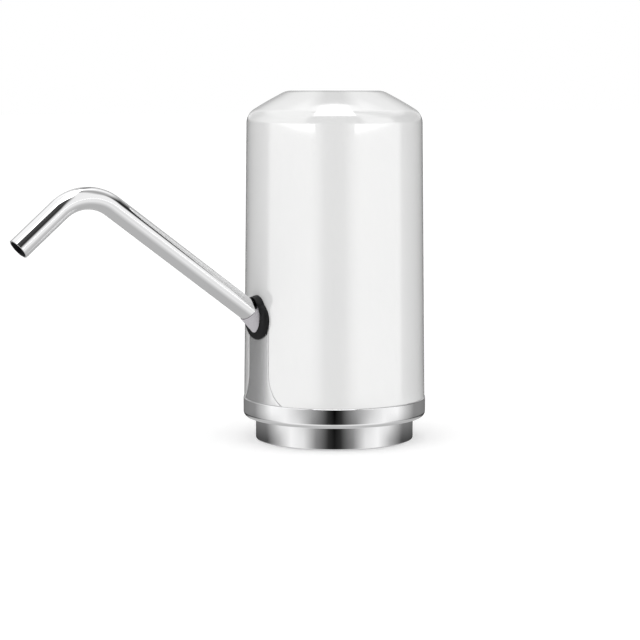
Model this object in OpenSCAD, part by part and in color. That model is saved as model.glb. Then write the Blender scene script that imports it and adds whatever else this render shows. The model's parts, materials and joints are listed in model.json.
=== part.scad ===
// Electric water jug pump that stands on the neck of a large water bottle.
// Millimetres, +Z up, spout towards -Y. The origin is the centre of the neck socket's mouth.

/* [Neck socket] */
// Inside diameter of the socket that goes over the bottle neck
neck_d = 56.8; // [54:0.1:62]
// Depth of the socket, from its mouth up to the gasket
neck_depth = 12; // [10:0.5:16]
// Wall of the base ring round the socket
ring_wall = 3.6; // [3:0.1:5]
// Height of the base ring that shows below the collar
ring_show = 9.2; // [7:0.1:11]
// Width of the step on the base ring that carries the collar
ring_step = 1; // [0.6:0.1:1.4]
// Chamfer of the base ring's lower edge
ring_chamfer = 0.5; // [0.2:0.1:0.8]
// Thickness of the base ring's ceiling
ceiling_t = 2; // [1.6:0.1:4]
// Thickness of the flat gasket that the bottle's rim seals against
gasket_t = 2; // [1.5:0.1:3]
// Inside diameter of the gasket
gasket_hole_d = 48; // [46:1:52]
// Depth of the groove that holds the gasket's edge
gasket_groove = 0.8; // [0.4:0.1:1.2]

/* [Collar and cover] */
// How far the collar stands out from the base ring
collar_overhang = 5; // [4.5:0.1:9]
// Height of the collar
collar_h = 7.8; // [6.5:0.1:12]
// Thickness of the collar's bottom flange
collar_flange_t = 2; // [1.4:0.1:3]
// Rounding of the collar's lower edge
collar_round = 2; // [0.5:0.1:2.4]
// Chamfer of the collar's upper edge
collar_chamfer = 0.3; // [0.1:0.1:0.6]
// How far the cover's foot is set back from the collar
cover_setback = 0.3; // [0.1:0.1:0.8]
// Radius that the cover loses between its foot and its shoulder
cover_taper = 1.4; // [0.2:0.1:2]
// Wall of the cover
cover_wall = 2.2; // [1.6:0.1:2.6]
// Height of the whole body, from the mouth of the socket to the top
body_h = 140.5; // [138:0.5:180]
// Diameter of the flat top
top_d = 38.8; // [36:0.2:46]
// Height of the sloping shoulder
shoulder_drop = 9.2; // [6:0.1:12]
// Rounding between the wall and the shoulder
shoulder_round = 6.5; // [4:0.5:8]
// Rounding between the shoulder and the flat top
top_round = 8; // [4:0.5:9]
// How far the middle of the sloping top bulges out
slope_crown = 0.3; // [0.2:0.05:0.4]
// Radius of that bulge
crown_round = 110; // [80:5:120]
// Height of the bead inside the cover that snaps into the chassis
snap_bead = 0.5; // [0.3:0.1:0.8]

/* [Spout] */
// Height at which the spout's axis crosses the cover's wall
spout_z = 51.4; // [49:0.2:60]
// Slope of the spout's arm above the horizontal
spout_angle = 36; // [30:1:42]
// Outside diameter of the tube
tube_d = 8.5; // [8:0.1:10]
// Wall of the tube
tube_wall = 0.6; // [0.5:0.1:0.8]
// Distance from the cover's wall to the start of the tube, along the axis
tube_stand = 4.2; // [3.8:0.1:6]
// Length of the straight arm
arm_l = 73.5; // [40:0.1:120]
// Radius of the bend, on the tube's centre line
bend_r = 18; // [14:0.5:30]
// Angle of the bend
bend_angle = 76; // [40:1:110]
// Length of the straight tip
tip_l = 21.5; // [8:0.5:40]
// Length of the ferrule's spigot inside the tube
spigot_l = 8; // [5:0.5:14]
// Diameter of the ferrule's tail in the elbow
tail_d = 5.8; // [5:0.1:6.2]
// Width of the step from the ferrule's edge to the tube's outside
ferrule_step = 0.15; // [0.1:0.05:0.4]
// Length of the ferrule's taper
taper_l = 4; // [3:0.1:4.5]
// How far the ferrule's skirt droops below the spout's axis
skirt_droop = 16; // [10:1:18]
// Diameter of the skirt's wide end, before it is cut to the grommet's face
skirt_d = 9.6; // [9:0.1:10]
// Diameter of the water channel through the ferrule
channel_d = 3.8; // [3:0.1:4.2]
// Thickness of the sealing ring on the ferrule's tail
o_ring_d = 1.4; // [1:0.1:1.6]
// Depth of the groove for that ring
groove_depth = 0.9; // [0.6:0.1:1]

/* [Panel and grommet] */
// Width of the panel's tongue
tongue_w = 14.9; // [13:0.1:18]
// Height of the panel's flared foot
flare_h = 12.7; // [8:0.1:14]
// Radius of the flare's two curves
flare_r = 15.3; // [15:0.1:24]
// Thickness of the panel
panel_t = 2; // [1.5:0.1:2.4]
// Depth of the grommet's centre below the point where the spout's axis crosses the wall
grommet_drop = 1; // [0:0.1:1.2]
// Width of the grommet's flange outside the tongue
grommet_lap = 0.75; // [0.5:0.05:1.5]
// How far the grommet's flange stands out from the cover
grommet_proud = 0.8; // [0.6:0.1:1.2]
// Diameter of the grommet's raised hood
lip_d = 13.2; // [12.5:0.1:14]
// Height of the hood's centre above the grommet's centre
lip_lift = 2.8; // [2:0.1:3]
// How far the hood stands out from the cover
lip_proud = 3; // [2.4:0.1:3.4]
// Diameter of the grommet's neck in the panel
grommet_neck_d = 11.8; // [11:0.1:12.4]
// Thickness of the grommet's inner flange
grommet_inner_t = 1.2; // [0.8:0.1:1.6]

/* [Chassis] */
// Thickness of the chassis floor
floor_t = 2.5; // [2:0.1:4]
// Height of the chassis rim above the collar
rim_h = 5; // [4:0.5:8]
// Thickness of the chassis rim
rim_t = 2; // [1.6:0.1:3]
// Diameter of the recess round the hose nipple
recess_d = 22; // [18:0.5:24]
// Depth of the recess above the base ring's ceiling
recess_depth = 9; // [7:0.5:14]
// Wall of the recess
recess_wall = 2; // [1.6:0.1:3]
// Diameter of the screw bosses
boss_d = 7; // [6.4:0.1:8]
// Height of the screw bosses above the floor
boss_h = 9.5; // [8.5:0.5:12]
// Distance of the screw bosses from the axis
boss_circle_r = 20; // [18.5:0.5:22]
// Diameter of the base screws
base_screw_d = 3; // [2.5:0.1:3.5]
// Length of the base screws
base_screw_l = 12; // [9:0.5:13]
// Distance of the board posts from the axis
post_circle_r = 27; // [26:0.5:27.5]
// Diameter of the board posts below the motor clamp
post_d = 7.2; // [6.6:0.1:8]
// Width of the shoulder that the motor clamp rests on
post_step = 0.6; // [0.4:0.1:0.8]

/* [Hoses] */
// Outside diameter of the spigot for the suction hose
nipple_d = 8; // [6:0.1:10]
// Gap round that spigot where it passes the chassis
nipple_gap = 0.7; // [0.6:0.1:1]
// How far the spigot reaches down below the chassis floor
nipple_drop = 1.5; // [0:0.1:3]
// Diameter of the nipple's channel
nipple_bore_d = 4.4; // [3:0.1:5]
// Height of the nipple's cross channel block
manifold_h = 4.4; // [4.2:0.1:6]
// Wall of that block round its spigots
manifold_wall = 2.5; // [2:0.1:3]
// Diameter of the spigots inside the body
spigot_d = 6; // [5:0.1:6.6]
// Diameter of the bores in those spigots
spigot_bore_d = 3.6; // [2.6:0.1:4]
// Length of the nipple's spigot to the pump
inlet_spigot_l = 4; // [3:0.1:6]
// Length of the pump's inlet spigot
port_spigot_l = 3.5; // [3:0.1:6]
// Length of the pump's outlet spigot
outlet_spigot_l = 5.2; // [4:0.1:6]
// Length of the elbow's spigot
elbow_spigot_l = 7; // [5:0.1:7.4]
// Gap between two spigots inside a hose
spigot_gap = 0.5; // [0.3:0.1:1.5]
// Wall of the hoses
hose_wall = 1.7; // [1:0.1:2]
// Diameter of the elbow's body
elbow_d = 10.2; // [9:0.1:11]

/* [Pump] */
// Distance of the pump's axis behind the body's axis
pump_back = 10; // [9:0.1:11]
// Width of the square pump
pump_w = 28.6; // [27:0.1:30]
// Rounding of the pump's corners
pump_corner_r = 6; // [5:0.1:7]
// Distance between the pump screws
pump_screw_pitch = 21.6; // [21.2:0.1:22]
// Diameter of the pump screws
pump_screw_d = 2; // [1.6:0.1:2.4]
// Height of the pump cover
pump_cover_h = 8; // [7.5:0.1:12]
// Height of the outlet above the pump's underside
outlet_rise = 4; // [3.6:0.1:4.4]
// Height of the rubber feet
foot_h = 3; // [2:0.1:4]
// Diameter of the rubber feet
foot_d = 5; // [4:0.1:5.6]
// Distance between the rubber feet from left to right
foot_pitch_x = 17.2; // [16:0.1:18]
// Distance between the rubber feet from front to back
foot_pitch_y = 10.8; // [10:0.1:11.4]
// Thickness of the valve plate
valve_plate_t = 2.5; // [2:0.1:4]
// Thickness of the rubber flaps
flap_t = 0.5; // [0.3:0.1:0.7]
// Diameter of the inlet flaps
flap_d = 2.8; // [2.6:0.1:3]
// Diameter of the inlet holes in the valve plate
inlet_hole_d = 1.4; // [1:0.1:1.6]
// Diameter of the outlet holes in the valve plate
outlet_hole_d = 1.6; // [1:0.1:2]
// Thickness of the diaphragm's flange
diaphragm_t = 1.2; // [0.8:0.1:2]
// Distance of the three cups from the pump's axis
cup_circle_r = 6.5; // [6.3:0.1:6.7]
// Diameter of the cups
cup_d = 8.4; // [8:0.1:8.8]
// Height of the cups above the flange
cup_h = 1.4; // [1:0.1:1.6]
// Rubber wall of the cups
cup_wall = 0.8; // [0.5:0.1:1]
// Diameter of the nipples on the cups
cup_nipple_d = 2.2; // [1.8:0.1:2.4]
// Tilt of the wobble plate
wobble_tilt = 6; // [4:0.5:6.5]
// Height of the wobble plate's centre above the diaphragm's flange
wobble_rise = 3.9; // [3.8:0.1:5]
// Thickness of the wobble plate
wobble_t = 2; // [1.6:0.1:2.2]
// Diameter of the wobble plate
wobble_d = 19; // [18:0.1:20]
// Gap round the cups' nipples in the wobble plate
wobble_play = 0.6; // [0.5:0.05:0.8]
// Diameter of the wobble plate's hub
wobble_hub_d = 4.4; // [4:0.1:5]
// Height of the hub above the plate
wobble_hub_h = 1.2; // [0.8:0.1:1.3]
// Diameter of the slanted drive pin
drive_pin_d = 1.6; // [1.2:0.1:2]
// Diameter of the eccentric wheel
eccentric_d = 10; // [8:0.1:10.6]
// Height of the eccentric wheel
eccentric_h = 6.2; // [5.6:0.1:8]
// Inside diameter of the pump chamber
chamber_d = 24.6; // [24:0.1:25.4]
// Thickness of the pump body's top
chamber_top_t = 3; // [2:0.1:4]

/* [Motor] */
// Diameter of the motor
motor_d = 24.4; // [24:0.1:25]
// Length of the motor's can
motor_l = 32; // [31:0.1:36]
// Wall of the motor's can
can_wall = 1; // [0.6:0.1:1.2]
// Thickness of the end cap's outer plate
end_cap_t = 2; // [1.5:0.1:3]
// Depth of the end cap's plug in the can
end_cap_plug = 2; // [1.5:0.1:3]
// Diameter of the shaft
shaft_d = 2; // [1.6:0.1:2.4]
// Diameter of the shaft bushes
bush_d = 6; // [5:0.1:6.4]
// Length of the shaft bushes
bush_l = 4; // [3:0.1:5]
// How far the front bush stands out of the can
bush_out = 1; // [0.6:0.1:1.4]
// Diameter of the armature
armature_d = 17.6; // [16:0.1:18]
// Length of the armature's core
armature_l = 15; // [12:0.1:16]
// Height of the windings at each end of the core
winding_h = 2; // [1.5:0.1:2.4]
// Thickness of the magnets
magnet_t = 1.8; // [1.2:0.1:1.9]
// Length of the magnets
magnet_l = 20; // [16:0.1:21]
// Angle that each magnet covers
magnet_angle = 140; // [120:1:150]
// Diameter of the commutator
commutator_d = 6; // [5:0.1:7]
// Length of the commutator
commutator_l = 4; // [3:0.1:4.4]
// Length of the carbon brushes
brush_l = 2.6; // [2:0.1:3.2]
// Width of the carbon brushes
brush_w = 2.2; // [1.8:0.1:2.6]
// Height of the carbon brushes
brush_h = 2.4; // [2:0.1:2.8]
// Thickness of the brass terminals
terminal_t = 0.6; // [0.4:0.1:1]
// Width of the brass terminals
terminal_w = 3; // [2:0.1:4]
// How far the terminals stand out of the end cap
terminal_l = 3; // [2:0.1:5]
// Diameter of the motor screws
motor_screw_d = 2.5; // [2:0.1:3]
// How far the motor screws reach into the motor
motor_screw_reach = 1.5; // [1:0.1:1.8]
// Distance of the motor screws from the motor's axis
motor_screw_r = 8; // [7.8:0.1:8.4]
// Wall of the rubber damper round the motor
damper_t = 1.2; // [0.8:0.1:2]
// Wall of the motor clamp
clamp_t = 2; // [1.5:0.1:2.5]
// Height of the motor clamp
clamp_h = 6; // [4:0.5:8]
// Height of the clamp above the motor's front face
clamp_rise = 16; // [12:0.5:22]

/* [Battery] */
// Diameter of the cell
cell_d = 18.3; // [17.5:0.1:18.7]
// Length of the cell
cell_l = 65; // [60:0.5:68]
// Diameter of the cell's positive cap
cell_cap_d = 6.9; // [5:0.1:8]
// Height of the cell's positive cap
cell_cap_h = 1; // [0.5:0.1:1.5]
// Direction of the cell from the axis
cell_angle = 207; // [204:1:210]
// Gap between the cell and the cover
cell_gap = 0.9; // [0.6:0.1:1.4]
// Wall of the battery holder
holder_wall = 1.25; // [1:0.05:1.5]
// Thickness of the holder's end plates
holder_end_t = 1.5; // [1:0.1:2.5]
// Width of the holder's open side, from the cell's axis outwards
holder_open = 7.5; // [6:0.1:8]
// Thickness of the contact plates
contact_t = 0.8; // [0.5:0.1:1.2]
// Width of the lower contact's strip
contact_w = 3; // [2.4:0.1:4]
// Diameter of the upper contact's rivet
rivet_d = 2; // [1.8:0.1:3]
// Diameter of the leads
lead_d = 1.6; // [1.2:0.1:2]

/* [Board and button] */
// Depth of the board's top face below the body's top
board_drop = 18.9; // [18:0.1:20]
// Diameter of the board
board_d = 59; // [58:0.5:61]
// Thickness of the board
board_t = 1.6; // [1:0.1:2]
// Width of the charger chip
chip_w = 5; // [4:0.1:6]
// Height of the charger chip
chip_h = 1.6; // [1:0.1:2]
// Diameter of the coil on the board
coil_d = 6.4; // [5:0.1:8]
// Height of the coil on the board
coil_h = 3; // [2:0.1:4]
// Diameter of the board screws
board_screw_d = 2; // [1.6:0.1:2.6]
// Length of the board screws
board_screw_l = 7.6; // [6:0.1:10]
// Width of the switch
switch_w = 6; // [5:0.1:7]
// Height of the switch
switch_h = 3.5; // [3:0.1:4.5]
// Thickness of the switch's floor
switch_floor = 0.6; // [0.4:0.1:0.8]
// Diameter of the switch's plunger
plunger_d = 3.5; // [2.5:0.1:4]
// How far the plunger stands out of the switch
plunger_out = 1; // [1:0.1:1.5]
// Width of the charging socket
usb_w = 7.6; // [7:0.1:9]
// Height of the charging socket
usb_h = 2.7; // [2.4:0.1:3.4]
// Depth of the charging socket
usb_depth = 5.6; // [5:0.1:8]
// Space round the charging socket in the cover's port
port_margin = 1.7; // [1:0.1:2]
// Diameter of the button
button_d = 22.2; // [20:0.1:23]
// Width of the light ring's face
light_w = 2.3; // [1.5:0.1:2.6]
// Width of the flanges that hold the button and the light ring
flange_w = 1.3; // [1:0.1:1.6]
// Thickness of those flanges
flange_t = 1.5; // [1:0.1:2]
// Depth of the button's face below the body's top
button_drop = 0.2; // [0:0.1:1]
// Thickness of the button's face
button_t = 1.6; // [1.2:0.1:2]
// Rounding of the button's edge
button_round = 0.6; // [0.3:0.1:1]
// How far the button goes down
button_travel = 0.8; // [0.5:0.1:0.9]
// Diameter of the button's stem
stem_d = 5; // [4:0.1:6]
// Diameter of the indicator lights
led_d = 1.8; // [1.2:0.1:2.4]
// Height of the indicator lights
led_h = 0.8; // [0.5:0.1:1.2]

/* [Fits] */
// Gap between pieces that are fixed together
slip = 0.15; // [0.1:0.05:0.2]
// Radial gap of a shaft in its bush
run = 0.04; // [0.02:0.01:0.08]
// Gap between pieces that move past each other
clear = 0.3; // [0.25:0.05:0.4]
// Gap round the button
button_gap = 0.2; // [0.15:0.05:0.3]

/* [Hidden] */
$fn = 64;

// How far a cut runs past the piece it cuts, and a hidden joint into its neighbour
over = 1;
// Height and width of a round screw head, in screw diameters
head_h = 0.6;
head_w = 1.9;

// Base ring, collar and chassis
neck_r = neck_d / 2;
ring_r = neck_r + ring_wall;
ring_top_r = ring_r - ring_step;
ceiling_z = neck_depth + gasket_t;
floor_z = ceiling_z + ceiling_t;
floor_top = floor_z + floor_t;
collar_r = ring_r + collar_overhang;
collar_top = ring_show + collar_h;
recess_top = floor_z + recess_depth;
manifold_z = recess_top + recess_wall;
boss_angles = [30, 150, 270];
post_angles = [-35, 40, 140];
clamp_posts = [1, 2];

// Cover
cover_r = collar_r - cover_setback;
shoulder_z = body_h - shoulder_drop;
shoulder_r = cover_r - cover_taper;
top_r = top_d / 2;
slope = atan2(shoulder_drop, shoulder_r - top_r);
function wall_r(z) = cover_r - cover_taper * (z - collar_top) / (shoulder_z - collar_top);
function inner_r(z) = wall_r(z) - cover_wall;
rim_top = collar_top + rim_h;
chassis_r = inner_r(rim_top) - slip;
skirt_r = ring_top_r + clear;
bead_z = collar_top + rim_h / 2;

// Spout: distance along its axis is counted outwards from the cover's wall
spout_rho = wall_r(spout_z);
tube_r = tube_d / 2;
tube_bore_r = tube_r - tube_wall;
tail_r = tail_d / 2;
grommet_z = spout_z - grommet_drop;
grommet_r = tongue_w / 2 + grommet_lap;
panel_rho = wall_r(grommet_z) - slip - panel_t;
mouth_rho = panel_rho - grommet_inner_t - slip;
groove_r = tail_r - groove_depth;
// The drawn bend is a hair thinner than the straight lengths, and its ends lie inside their walls
bend_thinning = 0.02;
bend_lap = 0.5;

// Pump stack, from the nipple up
spigot_r = spigot_d / 2;
hose_r = spigot_r + run + hose_wall;
pump_z = manifold_z + manifold_h + inlet_spigot_l + spigot_gap + port_spigot_l;
outlet_z = pump_z + outlet_rise;
valve_z = pump_z + pump_cover_h;
diaphragm_z = valve_z + valve_plate_t;
chamber_z = diaphragm_z + diaphragm_t;
wobble_z = chamber_z + wobble_rise;
eccentric_z = wobble_z + wobble_t / 2 + wobble_d / 2 * sin(wobble_tilt) + clear + flap_t;
chamber_top = eccentric_z + eccentric_h + clear;
motor_z = chamber_top + chamber_top_t;
pump_front = pump_back - pump_w / 2;
outlet_end = pump_front - outlet_spigot_l;
elbow_front = outlet_end - spigot_gap - elbow_spigot_l;
elbow_s = (outlet_z - spout_z) / sin(spout_angle);
elbow_rho = spout_rho + elbow_s * cos(spout_angle);
elbow_r = elbow_d / 2;
// Distance along the spout of the ferrule's inner end and of its sealing ring
tail_end = elbow_s + over;
o_ring_s = tail_end + 2.5;
seat_z = outlet_z - elbow_r - slip;
cup_angles = [90, 210, 330];
nipple_r = cup_nipple_d / 2;
// Pockets of the pump cover, the inlet in the middle and the outlet round it
inlet_pocket_r = 5.8;
outlet_pocket_in_r = 7;
outlet_pocket_r = 11.2;
outlet_hole_r = 9.1;
inlet_hole_r = 4.6;
pocket_floor = 2;
// Height of the drive pin's upper end above the wobble plate's middle
drive_pin_top = eccentric_z + eccentric_h / 2 - wobble_z - flap_t;

// Motor
motor_r = motor_d / 2;
can_bore_r = motor_r - can_wall;
can_top = motor_z + motor_l;
shaft_r = shaft_d / 2;
shaft_z = eccentric_z + eccentric_h / 2;
core_z = motor_z + can_wall + bush_l - bush_out + winding_h;
commutator_z = core_z + armature_l + winding_h + clear;
terminal_x = commutator_d / 2 + run + brush_l;
clamp_z = motor_z + clamp_rise;
clamp_r = motor_r + damper_t + 2 * slip;

// Battery
cell_r = cell_d / 2;
holder_r = cell_r + slip + holder_wall;
cell_z = floor_top + holder_end_t + contact_t;
holder_top = cell_z + cell_l + contact_t + holder_end_t;
cell_rho = inner_r(holder_top) - cell_r - cell_gap;

// Board and button
board_top = body_h - board_drop;
board_z = board_top - board_t;
switch_top = board_top + switch_h;
plunger_top = switch_top + plunger_out;
button_r = button_d / 2;
light_bore_r = button_r + button_gap;
light_r = light_bore_r + light_w;
top_under = body_h - cover_wall;
light_z = top_under - flange_t;
button_flange_z = light_z - clear - flange_t;
usb_front = inner_r(board_z) - clear;
usb_z = board_z - usb_h;

// Points along an arc
function arc(c, r, a0, a1, n) = [
  for (i = [0:n])
    let (a = a0 + (a1 - a0) * i / n)
    c + r * [cos(a), sin(a)]
];

function unit(v) = v / norm(v);

// Points of the rounding of radius r at corner b, between the points a and c
function corner(a, b, c, r, n = 8) =
  let (
    u = unit(a - b),
    w = unit(c - b),
    half = acos(u * w) / 2,
    m = b + unit(u + w) * r / sin(half),
    p = b + u * r / tan(half) - m,
    q = b + w * r / tan(half) - m,
    start = atan2(p[1], p[0]),
    turn = atan2(cross(p, q), p * q)
  )
  arc(m, r, start, start + turn, n);

// Outline of a rectangle with round corners, about its centre
function round_rect(w, h, r) = [
  each arc([w / 2 - r, h / 2 - r], r, 0, 90, 6),
  each arc([r - w / 2, h / 2 - r], r, 90, 180, 6),
  each arc([r - w / 2, r - h / 2], r, 180, 270, 6),
  each arc([w / 2 - r, r - h / 2], r, 270, 360, 6)
];

// Outline of the cover's section from the axis outwards, moved in by a wall's thickness
function cover_section(inset, foot_z) =
  let (
    foot = [cover_r - inset, foot_z],
    shoulder = [shoulder_r - inset, shoulder_z + inset * tan(slope) - inset / cos(slope)],
    edge = [top_r - inset * tan(slope / 2), body_h - inset],
    crown = (shoulder + edge) / 2 + slope_crown * [sin(slope), cos(slope)],
    middle = [0, body_h - inset]
  )
  [
    [0, foot_z],
    foot,
    each corner(foot, shoulder, crown, shoulder_round - inset),
    each corner(shoulder, crown, edge, crown_round - inset),
    each corner(crown, edge, middle, top_round - inset),
    middle
  ];

// Outline of the panel seen from the front, grown by a gap
function tongue(grow, foot_z) =
  let (
    half = tongue_w / 2,
    curve_z = collar_top + flare_h,
    turn = asin(flare_h / flare_r),
    side = arc([half + flare_r, curve_z], flare_r - grow, 180 + turn, 180, 8),
    foot = [[side[0][0], foot_z]]
  )
  [
    each foot,
    each side,
    each arc([0, grommet_z], half + grow, 0, 180, 20),
    each [for (i = [len(side) - 1:-1:0]) [-side[i][0], side[i][1]]],
    [-foot[0][0], foot_z]
  ];

// Ring of points round each point of a lead's route, closed at both ends
module lead(route, r, sides = 8) {
  count = len(route);
  tangents = [
    for (i = [0:count - 1]) unit(route[min(i + 1, count - 1)] - route[max(i - 1, 0)])
  ];
  rings = [
    for (i = [0:count - 1], k = [0:sides - 1])
      let (
        n = unit(cross(tangents[i], [1, 0.2, 0])),
        b = cross(tangents[i], n),
        a = 360 * k / sides
      )
      route[i] + r * (cos(a) * n + sin(a) * b)
  ];
  walls = [
    for (i = [0:count - 2], k = [0:sides - 1])
      let (k2 = (k + 1) % sides)
      each [
        [i * sides + k, i * sides + k2, (i + 1) * sides + k2],
        [i * sides + k, (i + 1) * sides + k2, (i + 1) * sides + k]
      ]
  ];
  near = [for (k = [1:sides - 2]) [0, k + 1, k]];
  far = [for (k = [1:sides - 2]) (count - 1) * sides * [1, 1, 1] + [0, k, k + 1]];
  polyhedron(rings, concat(walls, near, far));
}

module ring(outer, inner, h) {
  difference() {
    cylinder(h = h, r = outer);
    translate([0, 0, -over]) cylinder(h = h + 2 * over, r = inner);
  }
}

// Places its child at a height
module at(z) {
  translate([0, 0, z]) children();
}

// Places its child on the pump's axis at a height
module at_pump(z) {
  translate([0, pump_back, z]) children();
}

// Turns its child to each of the angles, at a distance from the axis
module around(angles, r) {
  for (a = angles) rotate(a) translate([r, 0, 0]) children();
}

// Cylinder along -Y at a height, between two distances in front of the axis
module forward(z, near, far, r) {
  translate([0, -near, z]) rotate([90, 0, 0]) cylinder(h = far - near, r = r);
}

// Extrudes an outline drawn in X and Z forward, from the axis
module front_prism(outline) {
  rotate([90, 0, 0]) linear_extrude(height = cover_r + grommet_proud + over) polygon(outline);
}

// Puts its child on the spout's axis, with Z outwards and zero at the cover's wall
module on_spout() {
  translate([0, -spout_rho, spout_z]) rotate([90 - spout_angle, 0, 0]) children();
}

// Puts its child on the slanted axis of the wobble plate, with zero at the plate's middle
module on_wobble() {
  at_pump(wobble_z) rotate([0, wobble_tilt, 0]) children();
}

// Puts its child on the cell's axis, with X away from the body's axis
module on_cell(z) {
  rotate(cell_angle) translate([cell_rho, 0, z]) children();
}

// The four screw places of the pump
module at_pump_screws(z) {
  for (x = [-1, 1], y = [-1, 1])
    at_pump(z) translate([x, y, 0] * pump_screw_pitch / 2) children();
}

// The four places of the pump's feet
module at_pump_feet(z) {
  for (x = [-1, 1], y = [-1, 1])
    at_pump(z) translate([x * foot_pitch_x / 2, y * foot_pitch_y / 2, 0]) children();
}

// Square plate of the pump with its four screw holes
module pump_block(h) {
  difference() {
    linear_extrude(height = h) polygon(round_rect(pump_w, pump_w, pump_corner_r));
    for (x = [-1, 1], y = [-1, 1])
      translate([x * pump_screw_pitch / 2, y * pump_screw_pitch / 2, -over])
        cylinder(h = h + 2 * over, d = pump_screw_d + slip);
  }
}

// Round outer form of the cover, out to a gap from its wall
module cover_form(gap) {
  rotate_extrude() polygon([
    [0, collar_top - over],
    [wall_r(collar_top - over) + gap, collar_top - over],
    [wall_r(shoulder_z) + gap, shoulder_z],
    [0, shoulder_z]
  ]);
}

module base_ring() {
  head_r = base_screw_d;
  color("gainsboro") difference() {
    rotate_extrude() polygon([
      [neck_r, 0],
      [ring_r - ring_chamfer, 0],
      [ring_r, ring_chamfer],
      [ring_r, ring_show],
      [ring_top_r, ring_show],
      [ring_top_r, floor_z],
      [recess_d / 2 + 2 * slip, floor_z],
      [recess_d / 2 + 2 * slip, ceiling_z],
      [neck_r + gasket_groove, ceiling_z],
      [neck_r + gasket_groove, neck_depth],
      [neck_r, neck_depth]
    ]);
    around(boss_angles, boss_circle_r) {
      at(ceiling_z - over) cylinder(h = ceiling_t + 2 * over, d = base_screw_d + 2 * slip);
      at(ceiling_z) cylinder(h = head_r / 2, r1 = head_r + slip, r2 = head_r / 2 + slip);
    }
  }
}

module neck_gasket() {
  color("dimgray") at(neck_depth) ring(neck_r + gasket_groove - slip, gasket_hole_d / 2, gasket_t);
}

module collar() {
  foot = [ring_top_r + slip, ring_show];
  edge = [collar_r, ring_show];
  rim = [collar_r, collar_top];
  bore_r = chassis_r + slip;
  color("silver") rotate_extrude() polygon([
    foot,
    each corner(foot, edge, rim, collar_round),
    [collar_r, collar_top - collar_chamfer],
    [collar_r - collar_chamfer, collar_top],
    [bore_r, collar_top],
    [bore_r, ring_show + collar_flange_t],
    [foot[0], ring_show + collar_flange_t]
  ]);
}

module chassis() {
  pilot_d = base_screw_d + slip / 2;
  post_bore = board_screw_l - board_t + 2 * over;
  color("whitesmoke") difference() {
    union() {
      rotate_extrude() polygon([
        [skirt_r, ring_show + collar_flange_t],
        [chassis_r, ring_show + collar_flange_t],
        [chassis_r, bead_z - snap_bead - slip],
        [chassis_r - snap_bead, bead_z - snap_bead - slip],
        [chassis_r - snap_bead, bead_z + snap_bead + slip],
        [chassis_r, bead_z + snap_bead + slip],
        [chassis_r, rim_top],
        [chassis_r - rim_t, rim_top],
        [chassis_r - rim_t, floor_top],
        [0, floor_top],
        [0, floor_z],
        [skirt_r, floor_z]
      ]);
      at(floor_z) cylinder(h = manifold_z - floor_z, r = recess_d / 2 + recess_wall);
      around(boss_angles, boss_circle_r) at(floor_z) cylinder(h = floor_t + boss_h, d = boss_d);
      translate([0, -boss_circle_r, floor_z]) cylinder(h = seat_z - floor_z, d = boss_d);
      around(post_angles, post_circle_r) {
        at(floor_z) cylinder(h = clamp_z - floor_z, d = post_d);
        at(floor_z) cylinder(h = board_z - floor_z, d = post_d - 2 * post_step);
      }
      at_pump_feet(floor_z) cylinder(h = pump_z - foot_h - floor_z, d = foot_d + 2 * slip);
    }
    at(floor_z - over) cylinder(h = recess_depth + over, d = recess_d);
    at(recess_top - over) cylinder(h = recess_wall + 2 * over, d = nipple_d + 2 * nipple_gap);
    around(boss_angles, boss_circle_r) at(floor_z - over)
      cylinder(h = base_screw_l - ceiling_t + 2 * over, d = pilot_d);
    around(post_angles, post_circle_r) at(board_z - post_bore)
      cylinder(h = post_bore + over, d = board_screw_d + slip / 2);
    on_cell(floor_top) cylinder(h = rim_top - floor_top + over, r = cell_r + clear);
  }
}

// Countersunk screw with its head down, its face at zero
module countersunk(d, l) {
  difference() {
    union() {
      cylinder(h = d / 2, r1 = d, r2 = d / 2);
      cylinder(h = l, d = d);
    }
    for (a = [0, 90]) rotate(a) cube([0.9 * d, d / 5, d / 2], center = true);
  }
}

// Round-headed screw with its shank down from zero
module pan_screw(d, l) {
  difference() {
    union() {
      cylinder(h = head_h * d, d = head_w * d);
      at(-l) cylinder(h = l, d = d);
    }
    for (a = [0, 90]) rotate(a) at(head_h * d) cube([1.2 * d, d / 4, d / 2], center = true);
  }
}

module base_screws() {
  color("silver") around(boss_angles, boss_circle_r) at(ceiling_z) countersunk(base_screw_d, base_screw_l);
}

module spout_panel() {
  color("lightgray") difference() {
    intersection() {
      difference() {
        cover_form(-slip);
        cover_form(-slip - panel_t);
      }
      front_prism(tongue(0, collar_top));
    }
    forward(grommet_z, 0, spout_rho + over, grommet_neck_d / 2 + slip);
  }
}

module spout_grommet() {
  lip_z = grommet_z + lip_lift;
  color([0.1, 0.1, 0.1]) difference() {
    union() {
      forward(grommet_z, mouth_rho + slip, spout_rho + slip + over / 2, grommet_neck_d / 2);
      intersection() {
        forward(grommet_z, mouth_rho + slip, spout_rho, tongue_w / 2 - slip);
        cover_form(-slip - panel_t - slip / 2);
      }
      difference() {
        union() {
          forward(grommet_z, mouth_rho, spout_rho + grommet_proud, grommet_r);
          intersection() {
            forward(lip_z, mouth_rho, spout_rho + lip_proud, lip_d / 2);
            on_spout() translate([-lip_d, 0, -lip_d]) cube(2 * lip_d);
          }
        }
        cover_form(slip / 3);
      }
    }
    on_spout() at(-2 * spout_rho) cylinder(h = 2 * spout_rho + over, r = tail_r + 2 * clear);
    on_spout() cylinder(h = spout_rho, r = tube_r + clear);
  }
}

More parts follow.
